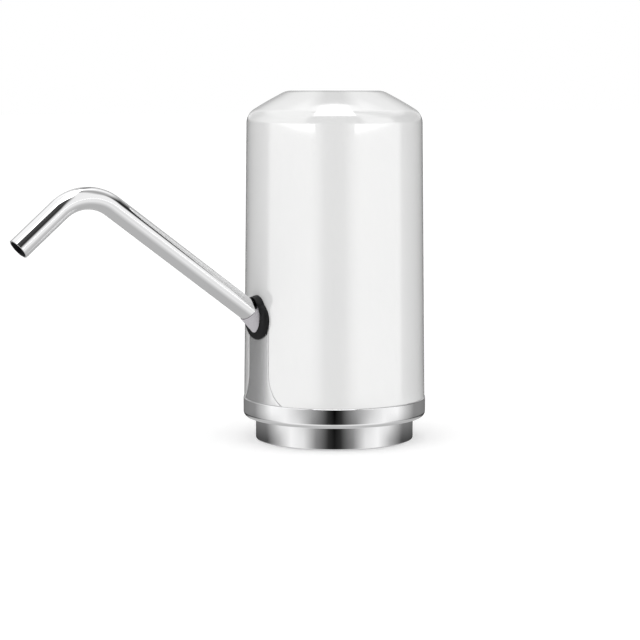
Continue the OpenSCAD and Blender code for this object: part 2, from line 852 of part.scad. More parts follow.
module outlet_elbow() {
  seat_d = boss_d - over;
  color("gainsboro") difference() {
    union() {
      intersection() {
        on_spout() at(elbow_s - elbow_r / 2) cylinder(h = spout_rho, r = elbow_r);
        translate([-elbow_d, -mouth_rho, 0]) cube([2 * elbow_d, mouth_rho, body_h]);
      }
      forward(outlet_z, -elbow_front, elbow_rho, elbow_r - slip);
      forward(outlet_z, -outlet_end + spigot_gap, elbow_rho, spigot_r);
      translate([0, -boss_circle_r, seat_z]) cylinder(h = elbow_r, d = seat_d);
    }
    on_spout() at(elbow_s - elbow_r / 4) cylinder(h = spout_rho, r = tail_r + run);
    forward(outlet_z, 0, elbow_rho, spigot_bore_d / 2);
  }
}

module outlet_hose() {
  length = outlet_spigot_l + spigot_gap + elbow_spigot_l - 2 * slip;
  color("aliceblue") translate([0, pump_front - slip, outlet_z]) rotate([90, 0, 0])
    ring(hose_r, spigot_r + run, length);
}

module inlet_nipple() {
  end_r = spigot_r + manifold_wall;
  channel_r = spigot_bore_d / 2;
  low = floor_z - nipple_drop;
  middle = manifold_z + manifold_h / 2;
  outline = [each arc([0, pump_back], end_r, 0, 180, 16), each arc([0, 0], end_r, 180, 360, 16)];
  color("gainsboro") difference() {
    union() {
      at(low) cylinder(h = manifold_z + over - low, d = nipple_d);
      at(manifold_z) linear_extrude(height = manifold_h) polygon(outline);
      at_pump(manifold_z) cylinder(h = manifold_h + inlet_spigot_l, r = spigot_r);
    }
    at(low - over) cylinder(h = middle - low + over, d = nipple_bore_d);
    forward(middle, -pump_back, 0, min(channel_r, manifold_h / 2 - 0.4));
    at_pump(middle) cylinder(h = manifold_h + inlet_spigot_l, r = channel_r);
  }
}

module inlet_hose() {
  length = inlet_spigot_l + spigot_gap + port_spigot_l - 2 * slip;
  color("aliceblue") at_pump(manifold_z + manifold_h + slip) ring(hose_r, spigot_r + run, length);
}

module pump_feet() {
  color([0.15, 0.15, 0.15]) at_pump_feet(pump_z - foot_h) cylinder(h = foot_h, d = foot_d);
}

module pump_cover() {
  sink = head_h * pump_screw_d + slip;
  color([0.2, 0.2, 0.22]) difference() {
    union() {
      at_pump(pump_z) pump_block(pump_cover_h);
      at_pump(pump_z - port_spigot_l) cylinder(h = port_spigot_l + over, r = spigot_r);
      forward(outlet_z, -pump_front - over, -outlet_end, spigot_r);
    }
    at_pump(pump_z + pocket_floor) cylinder(h = pump_cover_h, r = inlet_pocket_r);
    at_pump(pump_z + pocket_floor) ring(outlet_pocket_r, outlet_pocket_in_r, pump_cover_h);
    at_pump(pump_z - port_spigot_l - over) cylinder(h = 2 * port_spigot_l + over, d = spigot_bore_d);
    forward(outlet_z, outlet_pocket_in_r + 1 - pump_back, over - outlet_end, spigot_bore_d / 2);
    at_pump_screws(pump_z - over) cylinder(h = sink + over, d = head_w * pump_screw_d + 2 * slip);
  }
}

module valve_plate() {
  color("gainsboro") at_pump(valve_z) difference() {
    pump_block(valve_plate_t);
    around(cup_angles, outlet_hole_r) at(-over) cylinder(h = valve_plate_t + 2 * over, d = outlet_hole_d);
    around(cup_angles, inlet_hole_r) at(-over) cylinder(h = valve_plate_t + 2 * over, d = inlet_hole_d);
  }
}

module valve_flaps() {
  color("sienna") {
    at_pump(valve_z - flap_t) ring(outlet_pocket_r - 2 * slip, outlet_pocket_in_r + 2 * slip, flap_t);
    at_pump(diaphragm_z) around(cup_angles, inlet_hole_r + inlet_hole_d / 2)
      cylinder(h = flap_t, d = flap_d);
  }
}

module diaphragm() {
  color([0.25, 0.25, 0.25]) difference() {
    union() {
      at_pump(diaphragm_z) pump_block(diaphragm_t);
      at_pump(diaphragm_z) around(cup_angles, cup_circle_r) {
        cylinder(h = diaphragm_t + cup_h, d = cup_d);
        cylinder(h = diaphragm_t + wobble_rise + wobble_t, r = nipple_r);
      }
    }
    at_pump(diaphragm_z - over) around(cup_angles, cup_circle_r)
      cylinder(h = over + diaphragm_t + cup_h - cup_wall, d = cup_d - 2 * cup_wall);
  }
}

module pump_body() {
  color([0.2, 0.2, 0.22]) at_pump(chamber_z) difference() {
    pump_block(motor_z - chamber_z);
    at(-over) cylinder(h = chamber_top - chamber_z + over, d = chamber_d);
    cylinder(h = motor_z - chamber_z + over, d = bush_d + 2 * slip);
    around([0, 180], motor_screw_r) cylinder(h = motor_z - chamber_z + over, d = motor_screw_d + slip);
  }
}

module pump_screws() {
  length = motor_z - pump_z - 2 * over;
  color("silver") at_pump_screws(pump_z + head_h * pump_screw_d)
    mirror([0, 0, 1]) pan_screw(pump_screw_d, length);
}

module motor_screws() {
  length = chamber_top_t + can_wall + motor_screw_reach;
  color("silver") at_pump(chamber_top) around([0, 180], motor_screw_r)
    mirror([0, 0, 1]) pan_screw(motor_screw_d, length);
}

module motor_can() {
  color("silver") at_pump(motor_z) difference() {
    cylinder(h = motor_l, r = motor_r);
    at(can_wall) cylinder(h = motor_l, r = can_bore_r);
    at(-over) cylinder(h = can_wall + 2 * over, d = bush_d + slip / 2);
    around([0, 180], motor_screw_r) at(-over)
      cylinder(h = can_wall + 2 * over, d = motor_screw_d + slip / 2);
  }
}

module motor_magnets() {
  outer = can_bore_r - slip / 2;
  color([0.3, 0.3, 0.32]) at_pump(core_z - winding_h) for (a = [0, 180])
    rotate(a - magnet_angle / 2) rotate_extrude(angle = magnet_angle)
      translate([outer - magnet_t, 0]) square([magnet_t, magnet_l]);
}

module motor_bushes() {
  color("goldenrod") {
    at_pump(motor_z - bush_out) ring(bush_d / 2, shaft_r + run, bush_l);
    at_pump(can_top - end_cap_plug) ring(bush_d / 2, shaft_r + run, bush_l);
  }
}

module motor_end_cap() {
  color([0.85, 0.85, 0.82]) at_pump(can_top) difference() {
    union() {
      cylinder(h = end_cap_t, r = motor_r);
      at(-end_cap_plug) cylinder(h = end_cap_plug + over, r = can_bore_r - slip / 2);
    }
    at(-end_cap_plug - over) cylinder(h = end_cap_t + end_cap_plug + 2 * over, d = bush_d + slip / 2);
    for (x = [-1, 1]) translate([x * (terminal_x + terminal_t / 2), 0, 0])
      cube([terminal_t + slip, terminal_w + slip, 4 * (end_cap_t + end_cap_plug)], center = true);
  }
}

module motor_brushes() {
  color([0.2, 0.2, 0.2]) at_pump(commutator_z + commutator_l / 2) for (x = [-1, 1])
    translate([x * (terminal_x - brush_l / 2), 0, 0]) difference() {
      cube([brush_l + commutator_d / 6, brush_w, brush_h], center = true);
      translate([x * (brush_l / 2 + commutator_d / 6), 0, 0])
        cube([commutator_d / 3, brush_w + over, brush_h + over], center = true);
      translate([x * (brush_l / 2 - terminal_x), 0, -over * 2])
        cylinder(h = 4 * over, r = commutator_d / 2 + run);
    }
}

module motor_terminals() {
  low = commutator_z + (commutator_l - brush_h) / 4;
  high = can_top + end_cap_t + terminal_l;
  color("goldenrod") for (x = [-1, 1])
    at_pump(low) translate([x * (terminal_x + terminal_t / 2) - terminal_t / 2, -terminal_w / 2, 0])
      cube([terminal_t, terminal_w, high - low]);
}

module motor_damper() {
  color([0.15, 0.15, 0.15]) at_pump(clamp_z) ring(motor_r + slip + damper_t, motor_r + slip, clamp_h);
}

module motor_clamp() {
  hole_r = post_d / 2 - post_step + slip;
  arm_start = clamp_r + clamp_t / 2;
  color("whitesmoke") difference() {
    union() {
      at_pump(clamp_z) cylinder(h = clamp_h, r = clamp_r + clamp_t);
      for (i = clamp_posts) {
        foot = post_circle_r * [cos(post_angles[i]), sin(post_angles[i])];
        arm = foot - [0, pump_back];
        translate([foot[0], foot[1], clamp_z]) cylinder(h = clamp_h, r = hole_r + clamp_t);
        at_pump(clamp_z) rotate(atan2(arm[1], arm[0]))
          translate([arm_start, -clamp_t, over / 2])
            cube([norm(arm) - arm_start, 2 * clamp_t, clamp_h - over]);
      }
    }
    at_pump(clamp_z - over) cylinder(h = clamp_h + 2 * over, r = clamp_r);
    for (i = clamp_posts) rotate(post_angles[i]) translate([post_circle_r, 0, clamp_z - over])
      cylinder(h = clamp_h + 2 * over, r = hole_r);
  }
}

module battery_holder() {
  height = holder_top - floor_top;
  strip_w = contact_w + 2 * slip;
  color([0.2, 0.2, 0.2]) on_cell(floor_top) difference() {
    cylinder(h = height, r = holder_r);
    at(holder_end_t) cylinder(h = height - 2 * holder_end_t, r = cell_r + slip);
    translate([holder_open, -cell_d, -over]) cube([cell_d, 2 * cell_d, height + 2 * over]);
    translate([-strip_w / 2, -cell_d, holder_end_t]) cube([strip_w, cell_d, contact_t + slip]);
    at(height - holder_end_t - over) cylinder(h = holder_end_t + 2 * over, d = rivet_d + 2 * slip);
  }
}

module battery_cell() {
  color("seagreen") on_cell(cell_z) {
    cylinder(h = cell_l - cell_cap_h, r = cell_r);
    cylinder(h = cell_l, d = cell_cap_d);
  }
}

module battery_contacts() {
  strip_end = holder_r + lead_d;
  color("lightgray") {
    on_cell(floor_top + holder_end_t) {
      cylinder(h = contact_t, d = cell_d / 2);
      translate([-contact_w / 2, -strip_end, 0]) cube([contact_w, strip_end, contact_t]);
    }
    on_cell(cell_z + cell_l) {
      cylinder(h = contact_t, d = cell_d / 2);
      cylinder(h = contact_t + holder_end_t + over, d = rivet_d);
    }
  }
}

module battery_leads() {
  side = holder_r + lead_d;
  top = [cell_rho * cos(cell_angle), cell_rho * sin(cell_angle)];
  low = top + side * [sin(cell_angle), -cos(cell_angle)];
  red_pad = board_d * [-0.25, -0.05];
  black_pad = board_d * [-0.31, 0.08];
  start = holder_top + over;
  rise = board_z - start;
  function up(p, share) = [p[0], p[1], start + share * rise];
  color("firebrick") lead([
    up(top, 0), up(top, 0.15), up((top + red_pad) / 2, 0.5), up(red_pad, 0.85), up(red_pad, 1)
  ], lead_d / 2);
  color("black") lead([
    [low[0], low[1], floor_top + holder_end_t + contact_t],
    up(low, 0), up((low + black_pad) / 2, 0.5), up(black_pad, 0.85), up(black_pad, 1)
  ], lead_d / 2);
}

module motor_leads() {
  low = can_top + end_cap_t + terminal_l;
  for (side = [[1, "firebrick"], [-1, "black"]])
    color(side[1]) at_pump(low) translate([side[0] * (terminal_x + terminal_t / 2), 0, 0])
      cylinder(h = board_z - low, d = lead_d);
}

module control_board() {
  color("seagreen") difference() {
    at(board_z) cylinder(h = board_t, d = board_d);
    around(post_angles, post_circle_r) at(board_z - over)
      cylinder(h = board_t + 2 * over, d = board_screw_d + 2 * slip);
  }
}

module board_chips() {
  small = chip_w / 4;
  color([0.15, 0.15, 0.16]) at(board_top) {
    translate(board_d * [-0.29, -0.05, 0]) cube([chip_w, 1.2 * chip_w, chip_h]);
    translate(board_d * [0.17, -0.24, 0]) cube([0.8 * chip_w, chip_w, chip_h]);
    translate(board_d * [-0.14, 0.27, 0]) cylinder(h = coil_h, d = coil_d);
    for (i = [-1:3]) translate([0.24 * board_d, 2 * small * i, 0])
      cube([1.6 * small, small, chip_h / 2]);
    for (i = [0:3]) translate([2 * small * i - 0.2 * board_d, -0.31 * board_d, 0])
      cube([small, 1.6 * small, chip_h / 2]);
  }
}

module board_screws() {
  color("silver") around(post_angles, post_circle_r) at(board_top) pan_screw(board_screw_d, board_screw_l);
}

module tact_switch() {
  bore_r = plunger_d / 2 + slip;
  color([0.18, 0.18, 0.18]) at(board_top) difference() {
    linear_extrude(height = switch_h) polygon(round_rect(switch_w, switch_w, switch_floor));
    at(switch_floor) cylinder(h = switch_h, r = bore_r);
  }
}

module indicator_leds() {
  color("white") around([45, 135, 225, 315], light_bore_r + light_w / 2) at(board_top)
    cylinder(h = led_h, d = led_d);
}

module usb_socket() {
  wall = 0.3;
  tongue_t = 0.7;
  color("silver") difference() {
    translate([-usb_w / 2, usb_front - usb_depth, usb_z]) cube([usb_w, usb_depth, usb_h]);
    difference() {
      translate([wall - usb_w / 2, usb_front - usb_depth + over, usb_z + wall])
        cube([usb_w - 2 * wall, usb_depth, usb_h - 2 * wall]);
      translate([-usb_w / 4, usb_front - usb_depth, usb_z + (usb_h - tongue_t) / 2])
        cube([usb_w / 2, usb_depth - over, tongue_t]);
    }
  }
}

module light_ring() {
  color([0.9, 0.95, 1]) at(light_z) {
    difference() {
      union() {
        cylinder(h = flange_t, r = light_r + flange_w);
        cylinder(h = body_h - light_z, r = light_r);
      }
      at(-over) cylinder(h = body_h, r = light_bore_r);
    }
  }
}

module top_cover() {
  port_w = usb_w + 2 * port_margin;
  port_h = usb_h + 2 * port_margin;
  port_z = usb_z + usb_h / 2;
  color("white") difference() {
    union() {
      rotate_extrude() difference() {
        polygon(cover_section(0, collar_top));
        polygon(cover_section(cover_wall, collar_top - over));
      }
      rotate_extrude() polygon([
        [inner_r(bead_z) + over, bead_z - snap_bead],
        [inner_r(bead_z), bead_z - snap_bead],
        [inner_r(bead_z) - snap_bead + slip, bead_z],
        [inner_r(bead_z), bead_z + snap_bead],
        [inner_r(bead_z) + over, bead_z + snap_bead]
      ]);
    }
    front_prism(tongue(slip, collar_top - over));
    at(top_under - over) cylinder(h = cover_wall + 2 * over, r = light_r + slip / 2);
    translate([0, body_h, port_z]) rotate([90, 0, 0]) linear_extrude(height = body_h - cover_r / 2)
      polygon(round_rect(port_w, port_h, port_margin));
  }
}

module power_button() {
  face = body_h - button_drop;
  h = face - button_flange_z;
  color("white") difference() {
    union() {
      at(button_flange_z) cylinder(h = flange_t, r = button_r + flange_w);
      at(button_flange_z) rotate_extrude() polygon([
        [0, 0],
        [button_r, 0],
        each corner([button_r, 0], [button_r, h], [0, h], button_round),
        [0, h]
      ]);
      at(plunger_top) cylinder(h = face - button_t / 2 - plunger_top, d = stem_d);
    }
    at(button_flange_z - over) ring(button_r - button_t, stem_d / 2, h - button_t + over);
  }
}

module switch_plunger() {
  low = switch_top - button_travel - clear;
  color([0.3, 0.3, 0.3]) at(low) cylinder(h = plunger_top - low, d = plunger_d);
}

module motor_shaft() {
  color("silver") at_pump(shaft_z) cylinder(h = can_top + end_cap_t + over - shaft_z, r = shaft_r);
}

module armature_core() {
  slot_w = 2;
  color([0.45, 0.45, 0.48]) at_pump(core_z) difference() {
    cylinder(h = armature_l, d = armature_d);
    at(-over) cylinder(h = armature_l + 2 * over, r = shaft_r + slip / 10);
    around([0, 120, 240], armature_d / 4) translate([0, -slot_w / 2, -over])
      cube([armature_d, slot_w, armature_l + 2 * over]);
  }
}

module armature_windings() {
  color("peru") for (z = [core_z - winding_h, core_z + armature_l])
    at_pump(z) ring(armature_d / 2 - over, shaft_r + over, winding_h);
}

module commutator() {
  slit = 0.3;
  color("chocolate") at_pump(commutator_z) difference() {
    ring(commutator_d / 2, shaft_r + slip / 10, commutator_l);
    around([60, 180, 300], shaft_r + over) translate([0, -slit / 2, over / 2])
      cube([commutator_d, slit, commutator_l]);
  }
}

module eccentric_wheel() {
  color("ivory") difference() {
    at_pump(eccentric_z) cylinder(h = eccentric_h, d = eccentric_d);
    at_pump(shaft_z) cylinder(h = eccentric_h, r = shaft_r + slip / 10);
    on_wobble() cylinder(h = drive_pin_top + slip, r = drive_pin_d / 2 + slip / 10);
  }
}

module drive_pin() {
  low = -wobble_t / 2 - clear;
  color("silver") on_wobble() at(low) cylinder(h = drive_pin_top - low, d = drive_pin_d);
}

module wobble_plate() {
  hub_top = wobble_t / 2 + wobble_hub_h;
  color("ivory") on_wobble() difference() {
    union() {
      at(-wobble_t / 2) cylinder(h = wobble_t, d = wobble_d);
      cylinder(h = hub_top, d = wobble_hub_d);
    }
    at(-wobble_t) cylinder(h = hub_top + 2 * wobble_t, r = drive_pin_d / 2 + run);
    around(cup_angles, cup_circle_r) at(-wobble_t)
      cylinder(h = 2 * wobble_t, r = nipple_r + wobble_play);
  }
}

module spout_ferrule() {
  groove = o_ring_d / 2 + slip;
  edge_r = tube_r - ferrule_step;
  color([0.75, 0.76, 0.78]) {
    on_spout() rotate_extrude() polygon([
      [channel_d / 2, tail_end],
      [tail_r - over / 2, tail_end],
      [tail_r, tail_end + over / 2],
      [tail_r, o_ring_s - groove],
      [groove_r, o_ring_s - groove],
      [groove_r, o_ring_s + groove],
      [tail_r, o_ring_s + groove],
      [tail_r, tube_stand - taper_l],
      [tail_r + clear, tube_stand - taper_l],
      [edge_r, tube_stand],
      [tube_bore_r - run, tube_stand],
      [tube_bore_r - run, tube_stand + spigot_l],
      [channel_d / 2, tube_stand + spigot_l]
    ]);
    difference() {
      on_spout() at(tube_stand - edge_r * sin(skirt_droop) - slip) rotate([180 - skirt_droop, 0, 0])
        cylinder(h = skirt_d, r1 = edge_r - slip, r2 = skirt_d / 2);
      forward(spout_z, 0, spout_rho + grommet_proud + slip, 2 * skirt_d);
      on_spout() at(-skirt_d) cylinder(h = 2 * skirt_d, r = tail_r - clear);
    }
  }
}

module spout_o_ring() {
  color([0.1, 0.1, 0.1]) on_spout() at(o_ring_s - o_ring_d / 2)
    ring(tail_r + run / 2, groove_r + slip / 10, o_ring_d);
}

module spout_tube() {
  end = [0, bend_r * (cos(bend_angle) - 1), arm_l + bend_r * sin(bend_angle)];
  lap_angle = asin(bend_lap / bend_r);
  color("silver") on_spout() at(tube_stand) {
    ring(tube_r, tube_bore_r, arm_l);
    translate([0, -bend_r, arm_l]) rotate(120, [1, 1, 1]) rotate(-lap_angle)
      rotate_extrude(angle = bend_angle + 2 * lap_angle)
        translate([bend_r, 0]) difference() {
          circle(r = tube_r - bend_thinning);
          circle(r = tube_bore_r + bend_thinning);
        }
    translate(end) rotate([bend_angle, 0, 0]) ring(tube_r, tube_bore_r, tip_l);
  }
}

base_ring();
neck_gasket();
collar();
chassis();
base_screws();
spout_panel();
spout_grommet();
outlet_elbow();
outlet_hose();
inlet_nipple();
inlet_hose();
pump_feet();
pump_cover();
valve_plate();
valve_flaps();
diaphragm();
pump_body();
pump_screws();
motor_screws();
motor_can();
motor_magnets();
motor_bushes();
motor_end_cap();
motor_brushes();
motor_terminals();
motor_damper();
motor_clamp();
battery_holder();
battery_cell();
battery_contacts();
battery_leads();
motor_leads();
control_board();
board_chips();
board_screws();
tact_switch();
indicator_leds();
usb_socket();
light_ring();
top_cover();
power_button();
switch_plunger();
motor_shaft();
armature_core();
armature_windings();
commutator();
eccentric_wheel();
drive_pin();
wobble_plate();
spout_ferrule();
spout_o_ring();
spout_tube();
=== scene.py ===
"""Electric water jug pump: smooth outer pieces, finishes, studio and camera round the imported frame."""
import json
import math

import bpy
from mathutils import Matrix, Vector


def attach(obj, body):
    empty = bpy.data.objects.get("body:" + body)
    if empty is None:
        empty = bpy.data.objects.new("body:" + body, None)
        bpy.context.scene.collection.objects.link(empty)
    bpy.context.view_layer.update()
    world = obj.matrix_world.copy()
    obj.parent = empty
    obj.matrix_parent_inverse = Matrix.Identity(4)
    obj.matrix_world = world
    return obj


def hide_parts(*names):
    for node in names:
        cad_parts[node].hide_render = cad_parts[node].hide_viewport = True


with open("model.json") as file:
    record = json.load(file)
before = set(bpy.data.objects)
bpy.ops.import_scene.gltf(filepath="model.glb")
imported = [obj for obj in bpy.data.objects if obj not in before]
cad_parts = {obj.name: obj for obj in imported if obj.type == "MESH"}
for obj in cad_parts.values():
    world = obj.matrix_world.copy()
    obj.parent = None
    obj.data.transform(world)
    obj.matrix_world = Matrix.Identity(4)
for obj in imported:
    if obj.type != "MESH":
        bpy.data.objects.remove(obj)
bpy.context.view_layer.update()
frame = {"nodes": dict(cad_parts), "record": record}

MM = 0.001
TURNS, BAR_TURNS, TUBE_TURNS, SCREW_TURNS, BEND_STEPS = 256, 128, 96, 48, 56

# Sizes in millimetres, as in the part's source.
NECK_R, RING_R, RING_STEP_R = 28.4, 32.0, 31.0
NECK_DEPTH, CEILING_Z, CEILING_TOP = 12.0, 14.0, 16.0
GASKET_HOLE_R, GASKET_R, GROOVE_R = 24.0, 29.05, 29.2
RECESS_R = 11.3
SCREW_CIRCLE_R, SCREW_R, SCREW_HEAD_R = 20.0, 1.65, 3.15
SCREW_ANGLES = (30, 150, 270)
COLLAR_R, COLLAR_Z, COLLAR_TOP, COLLAR_FLANGE_TOP = 37.0, 9.2, 17.0, 11.2
COLLAR_BORE_R, COLLAR_SEAT_R = 34.44, 31.15
COVER_R, SHOULDER_R, SHOULDER_Z, TOP_Z, TOP_R = 36.7, 35.3, 131.3, 140.5, 19.4
COVER_WALL, SHOULDER_ROUND, TOP_ROUND = 2.2, 6.5, 8.0
CONE_CROWN, CROWN_ROUND = 0.3, 110.0
TOP_HOLE_R = 13.675
PORT_W, PORT_H, PORT_ROUND, PORT_Z = 11.0, 6.1, 1.7, 118.65
SPOUT_Z, SPOUT_RISE = 51.4, 36.0
TUBE_R, TUBE_WALL, TUBE_STAND = 4.25, 0.6, 4.2
ARM_L, BEND_R, BEND_ANGLE, TIP_L = 73.5, 18.0, 76.0, 21.5
TAIL_R, TAIL_END, SPIGOT_END, CHANNEL_R = 2.9, -12.61, 12.2, 1.9
O_RING_S, O_RING_HALF, O_RING_BED_R = -10.11, 0.85, 2.0
TAPER_L, FERRULE_STEP, SPIGOT_SLIP = 4.0, 0.15, 0.04
TONGUE_HALF, FLARE_H, FLARE_R, PANEL_T = 7.45, 12.7, 15.3, 2.0
GROMMET_Z, GROMMET_NECK_R, GROMMET_INNER_T = 50.4, 5.9, 1.2
SLIP, CLEAR = 0.15, 0.3
SCREW_SINK_DEPTH = 1.5
BUTTON_R, BUTTON_TOP, BUTTON_FLANGE_R = 11.1, 140.3, 12.4
BUTTON_FLANGE_Z, BUTTON_FLANGE_TOP = 135.0, 136.5
BUTTON_UNDER, BUTTON_BORE_R, STEM_R, STEM_Z = 138.7, 9.5, 2.5, 126.1
LIGHT_BORE_R, LIGHT_R, LIGHT_FLANGE_R = 11.3, 13.6, 14.9
LIGHT_Z, LIGHT_FLANGE_TOP = 136.8, 138.3

# Sizes in millimetres of the smooth pieces alone. The grommet's face and hood and the ferrule's skirt
# differ from the solids, which have no seam, ribs, grooves or dish.
SEAM = 0.1
GROMMET_R, GROMMET_PROUD, GROMMET_ROUND, TUBE_CLEAR = 8.1, 1.5, 1.4, 0.75
LIP_Z, LIP_R, LIP_PROUD, LIP_LEAN, LIP_L, LIP_ROUND = 53.8, 5.6, 1.9, 15.0, 8.0, 0.9
SKIRT_DROOP, SKIRT_L, SKIRT_R, SKIRT_END_R, SKIRT_LAP = 10.0, 11.0, 4.65, 4.75, 0.05
RIBS, RIB_START, RIB_PITCH, RIB_DEPTH, RIB_HALF, RIB_BED_HALF = 9, 1.0, 0.95, 0.07, 0.26, 0.1
GASKET_GROOVES, GASKET_GROOVE_DEPTH = (25.4, 26.7, 28.0), 0.25
GASKET_GROOVE_HALF, GASKET_BED_HALF = 0.35, 0.15
BUTTON_DISH_R, BUTTON_DISH_DEPTH, BUTTON_DISH_STEPS = 9.6, 0.4, 12


def wall_r(z):
    """Radius of the cover's outside at a height."""
    return COVER_R - (COVER_R - SHOULDER_R) * (z - COLLAR_TOP) / (SHOULDER_Z - COLLAR_TOP)


SPOUT_RHO = wall_r(SPOUT_Z)
SPOUT_OUT = Vector((0, -math.cos(math.radians(SPOUT_RISE)), math.sin(math.radians(SPOUT_RISE))))
SPOUT_UNDER = Vector((0, -math.sin(math.radians(SPOUT_RISE)), -math.cos(math.radians(SPOUT_RISE))))
SPOUT_MOUTH = Vector((0, -SPOUT_RHO, SPOUT_Z))


# Modelling helpers

def rounded(corners, steps=8):
    """Points of an outline whose corners are (a, b) or (a, b, radius); the outline is closed."""
    points = []
    for i, corner in enumerate(corners):
        here = Vector(corner[:2])
        radius = corner[2] if len(corner) > 2 else 0
        if not radius:
            points.append(here)
            continue
        before = (Vector(corners[i - 1][:2]) - here).normalized()
        after = (Vector(corners[(i + 1) % len(corners)][:2]) - here).normalized()
        half = math.acos(max(-1, min(1, before.dot(after)))) / 2
        middle = here + (before + after).normalized() * radius / math.sin(half)
        first = here + before * radius / math.tan(half) - middle
        last = here + after * radius / math.tan(half) - middle
        turn = math.atan2(first.x * last.y - first.y * last.x, first.dot(last))
        for k in range(steps + 1):
            a = turn * k / steps
            cos, sin = math.cos(a), math.sin(a)
            points.append(middle + Vector((first.x * cos - first.y * sin, first.x * sin + first.y * cos)))
    return points


def deselect():
    """Leaves nothing selected, so that an operator acts on the new piece alone."""
    bpy.ops.object.select_all(action="DESELECT")


def draw_line(name, points):
    """Starts a piece as one point and extrudes it along points in millimetres; stays in edit mode."""
    deselect()
    bpy.ops.mesh.primitive_plane_add(size=MM)
    piece = bpy.context.object
    piece.name = piece.data.name = name
    bpy.ops.object.mode_set(mode="EDIT")
    bpy.ops.mesh.merge(type="CENTER")
    bpy.ops.transform.translate(value=points[0] * MM)
    for here, there in zip(points, points[1:]):
        bpy.ops.mesh.extrude_region_move(TRANSFORM_OT_translate={"value": (there - here) * MM})
    return piece


def close_mesh():
    """Merges what lies together, turns the faces outwards and leaves edit mode."""
    bpy.ops.mesh.select_all(action="SELECT")
    bpy.ops.mesh.remove_doubles(threshold=1e-6)
    bpy.ops.mesh.normals_make_consistent(inside=False)
    bpy.ops.object.mode_set(mode="OBJECT")


def lathe(name, section, turns=TURNS):
    """Spins a closed section, points of radius and height, round the Z axis."""
    points = [Vector((r, 0, z)) for r, z in section]
    piece = draw_line(name, points + points[:1])
    bpy.ops.mesh.select_all(action="SELECT")
    bpy.ops.mesh.spin(steps=turns, angle=math.tau, center=(0, 0, 0), axis=(0, 0, 1))
    close_mesh()
    return piece


def prism(name, outline, start, end):
    """Extrudes an outline drawn in X and Z along Y, between two places."""
    points = [Vector((x, start, z)) for x, z in outline]
    piece = draw_line(name, points + points[:1])
    bpy.ops.mesh.select_all(action="SELECT")
    bpy.ops.mesh.remove_doubles(threshold=1e-6)
    bpy.ops.mesh.edge_face_add()
    bpy.ops.mesh.extrude_region_move(TRANSFORM_OT_translate={"value": (0, (end - start) * MM, 0)})
    close_mesh()
    return piece


def rod(name, start, end, radius, turns=BAR_TURNS, round_end=0.0):
    """A round bar between two points, with its far edge rounded."""
    axis = end - start
    deselect()
    bpy.ops.mesh.primitive_cylinder_add(vertices=turns, radius=radius * MM, depth=axis.length * MM)
    piece = bpy.context.object
    piece.name = piece.data.name = name
    if round_end:
        bpy.ops.object.mode_set(mode="EDIT")
        bpy.ops.mesh.select_all(action="DESELECT")
        bpy.ops.object.mode_set(mode="OBJECT")
        for edge in piece.data.edges:
            edge.select = all(piece.data.vertices[v].co.z > 0 for v in edge.vertices)
        bpy.ops.object.mode_set(mode="EDIT")
        bpy.ops.mesh.select_mode(type="EDGE")
        bpy.ops.mesh.bevel(offset=round_end * MM, segments=6)
        bpy.ops.mesh.select_mode(type="VERT")
        bpy.ops.object.mode_set(mode="OBJECT")
    piece.rotation_euler = axis.to_track_quat("Z", "Y").to_euler()
    piece.location = (start + end) / 2 * MM
    bpy.ops.object.transform_apply(location=True, rotation=True, scale=True)
    return piece


def use(piece, kind, **settings):
    """Adds a modifier with its settings and applies it."""
    deselect()
    piece.select_set(True)
    bpy.context.view_layer.objects.active = piece
    modifier = piece.modifiers.new(kind.title(), kind)
    for key, value in settings.items():
        setattr(modifier, key, value)
    bpy.ops.object.modifier_apply(modifier=modifier.name)


def carve(piece, tool, operation="DIFFERENCE"):
    """Cuts, joins or crosses a piece with a tool, which is used up."""
    use(piece, "BOOLEAN", operation=operation, object=tool, solver="EXACT")
    bpy.data.objects.remove(tool, do_unlink=True)


def merge_close(piece, gap):
    """Merges points of a cut that lie closer than a gap."""
    deselect()
    bpy.context.view_layer.objects.active = piece
    piece.select_set(True)
    bpy.ops.object.mode_set(mode="EDIT")
    bpy.ops.mesh.select_all(action="SELECT")
    bpy.ops.mesh.remove_doubles(threshold=gap * MM)
    bpy.ops.object.mode_set(mode="OBJECT")


def soften(piece, width, segments=2, angle=40):
    """Rounds the hard edges of a piece a little."""
    use(piece, "BEVEL", width=width * MM, segments=segments, limit_method="ANGLE",
        angle_limit=math.radians(angle), use_clamp_overlap=False, harden_normals=False)


def smooth(piece, angle=35):
    """Shades a piece smoothly except over its hard edges, and keeps long straight walls straight."""
    deselect()
    piece.select_set(True)
    bpy.context.view_layer.objects.active = piece
    bpy.ops.object.shade_smooth_by_angle(angle=math.radians(angle))
    use(piece, "WEIGHTED_NORMAL", weight=100, keep_sharp=True)


def settle(piece, body, slot, material, *nodes):
    """Gives a finished piece its finish, its body and the nodes that it stands for."""
    smooth(piece)
    piece.data.materials.clear()
    piece.data.materials.append(material)
    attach(piece, body)
    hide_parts(*nodes)


# Finishes

def finish_base(name, color, metallic=0.0, roughness=0.4, **sockets):
    """A new material with its shader's own values set; returns the material, its tree and its shader."""
    material = bpy.data.materials.new(name)
    material.use_nodes = True
    tree = material.node_tree
    shader = tree.nodes["Principled BSDF"]
    shader.inputs["Base Color"].default_value = (*color, 1)
    shader.inputs["Metallic"].default_value = metallic
    shader.inputs["Roughness"].default_value = roughness
    for socket, value in sockets.items():
        shader.inputs[socket.replace("_", " ")].default_value = value
    return material, tree, shader


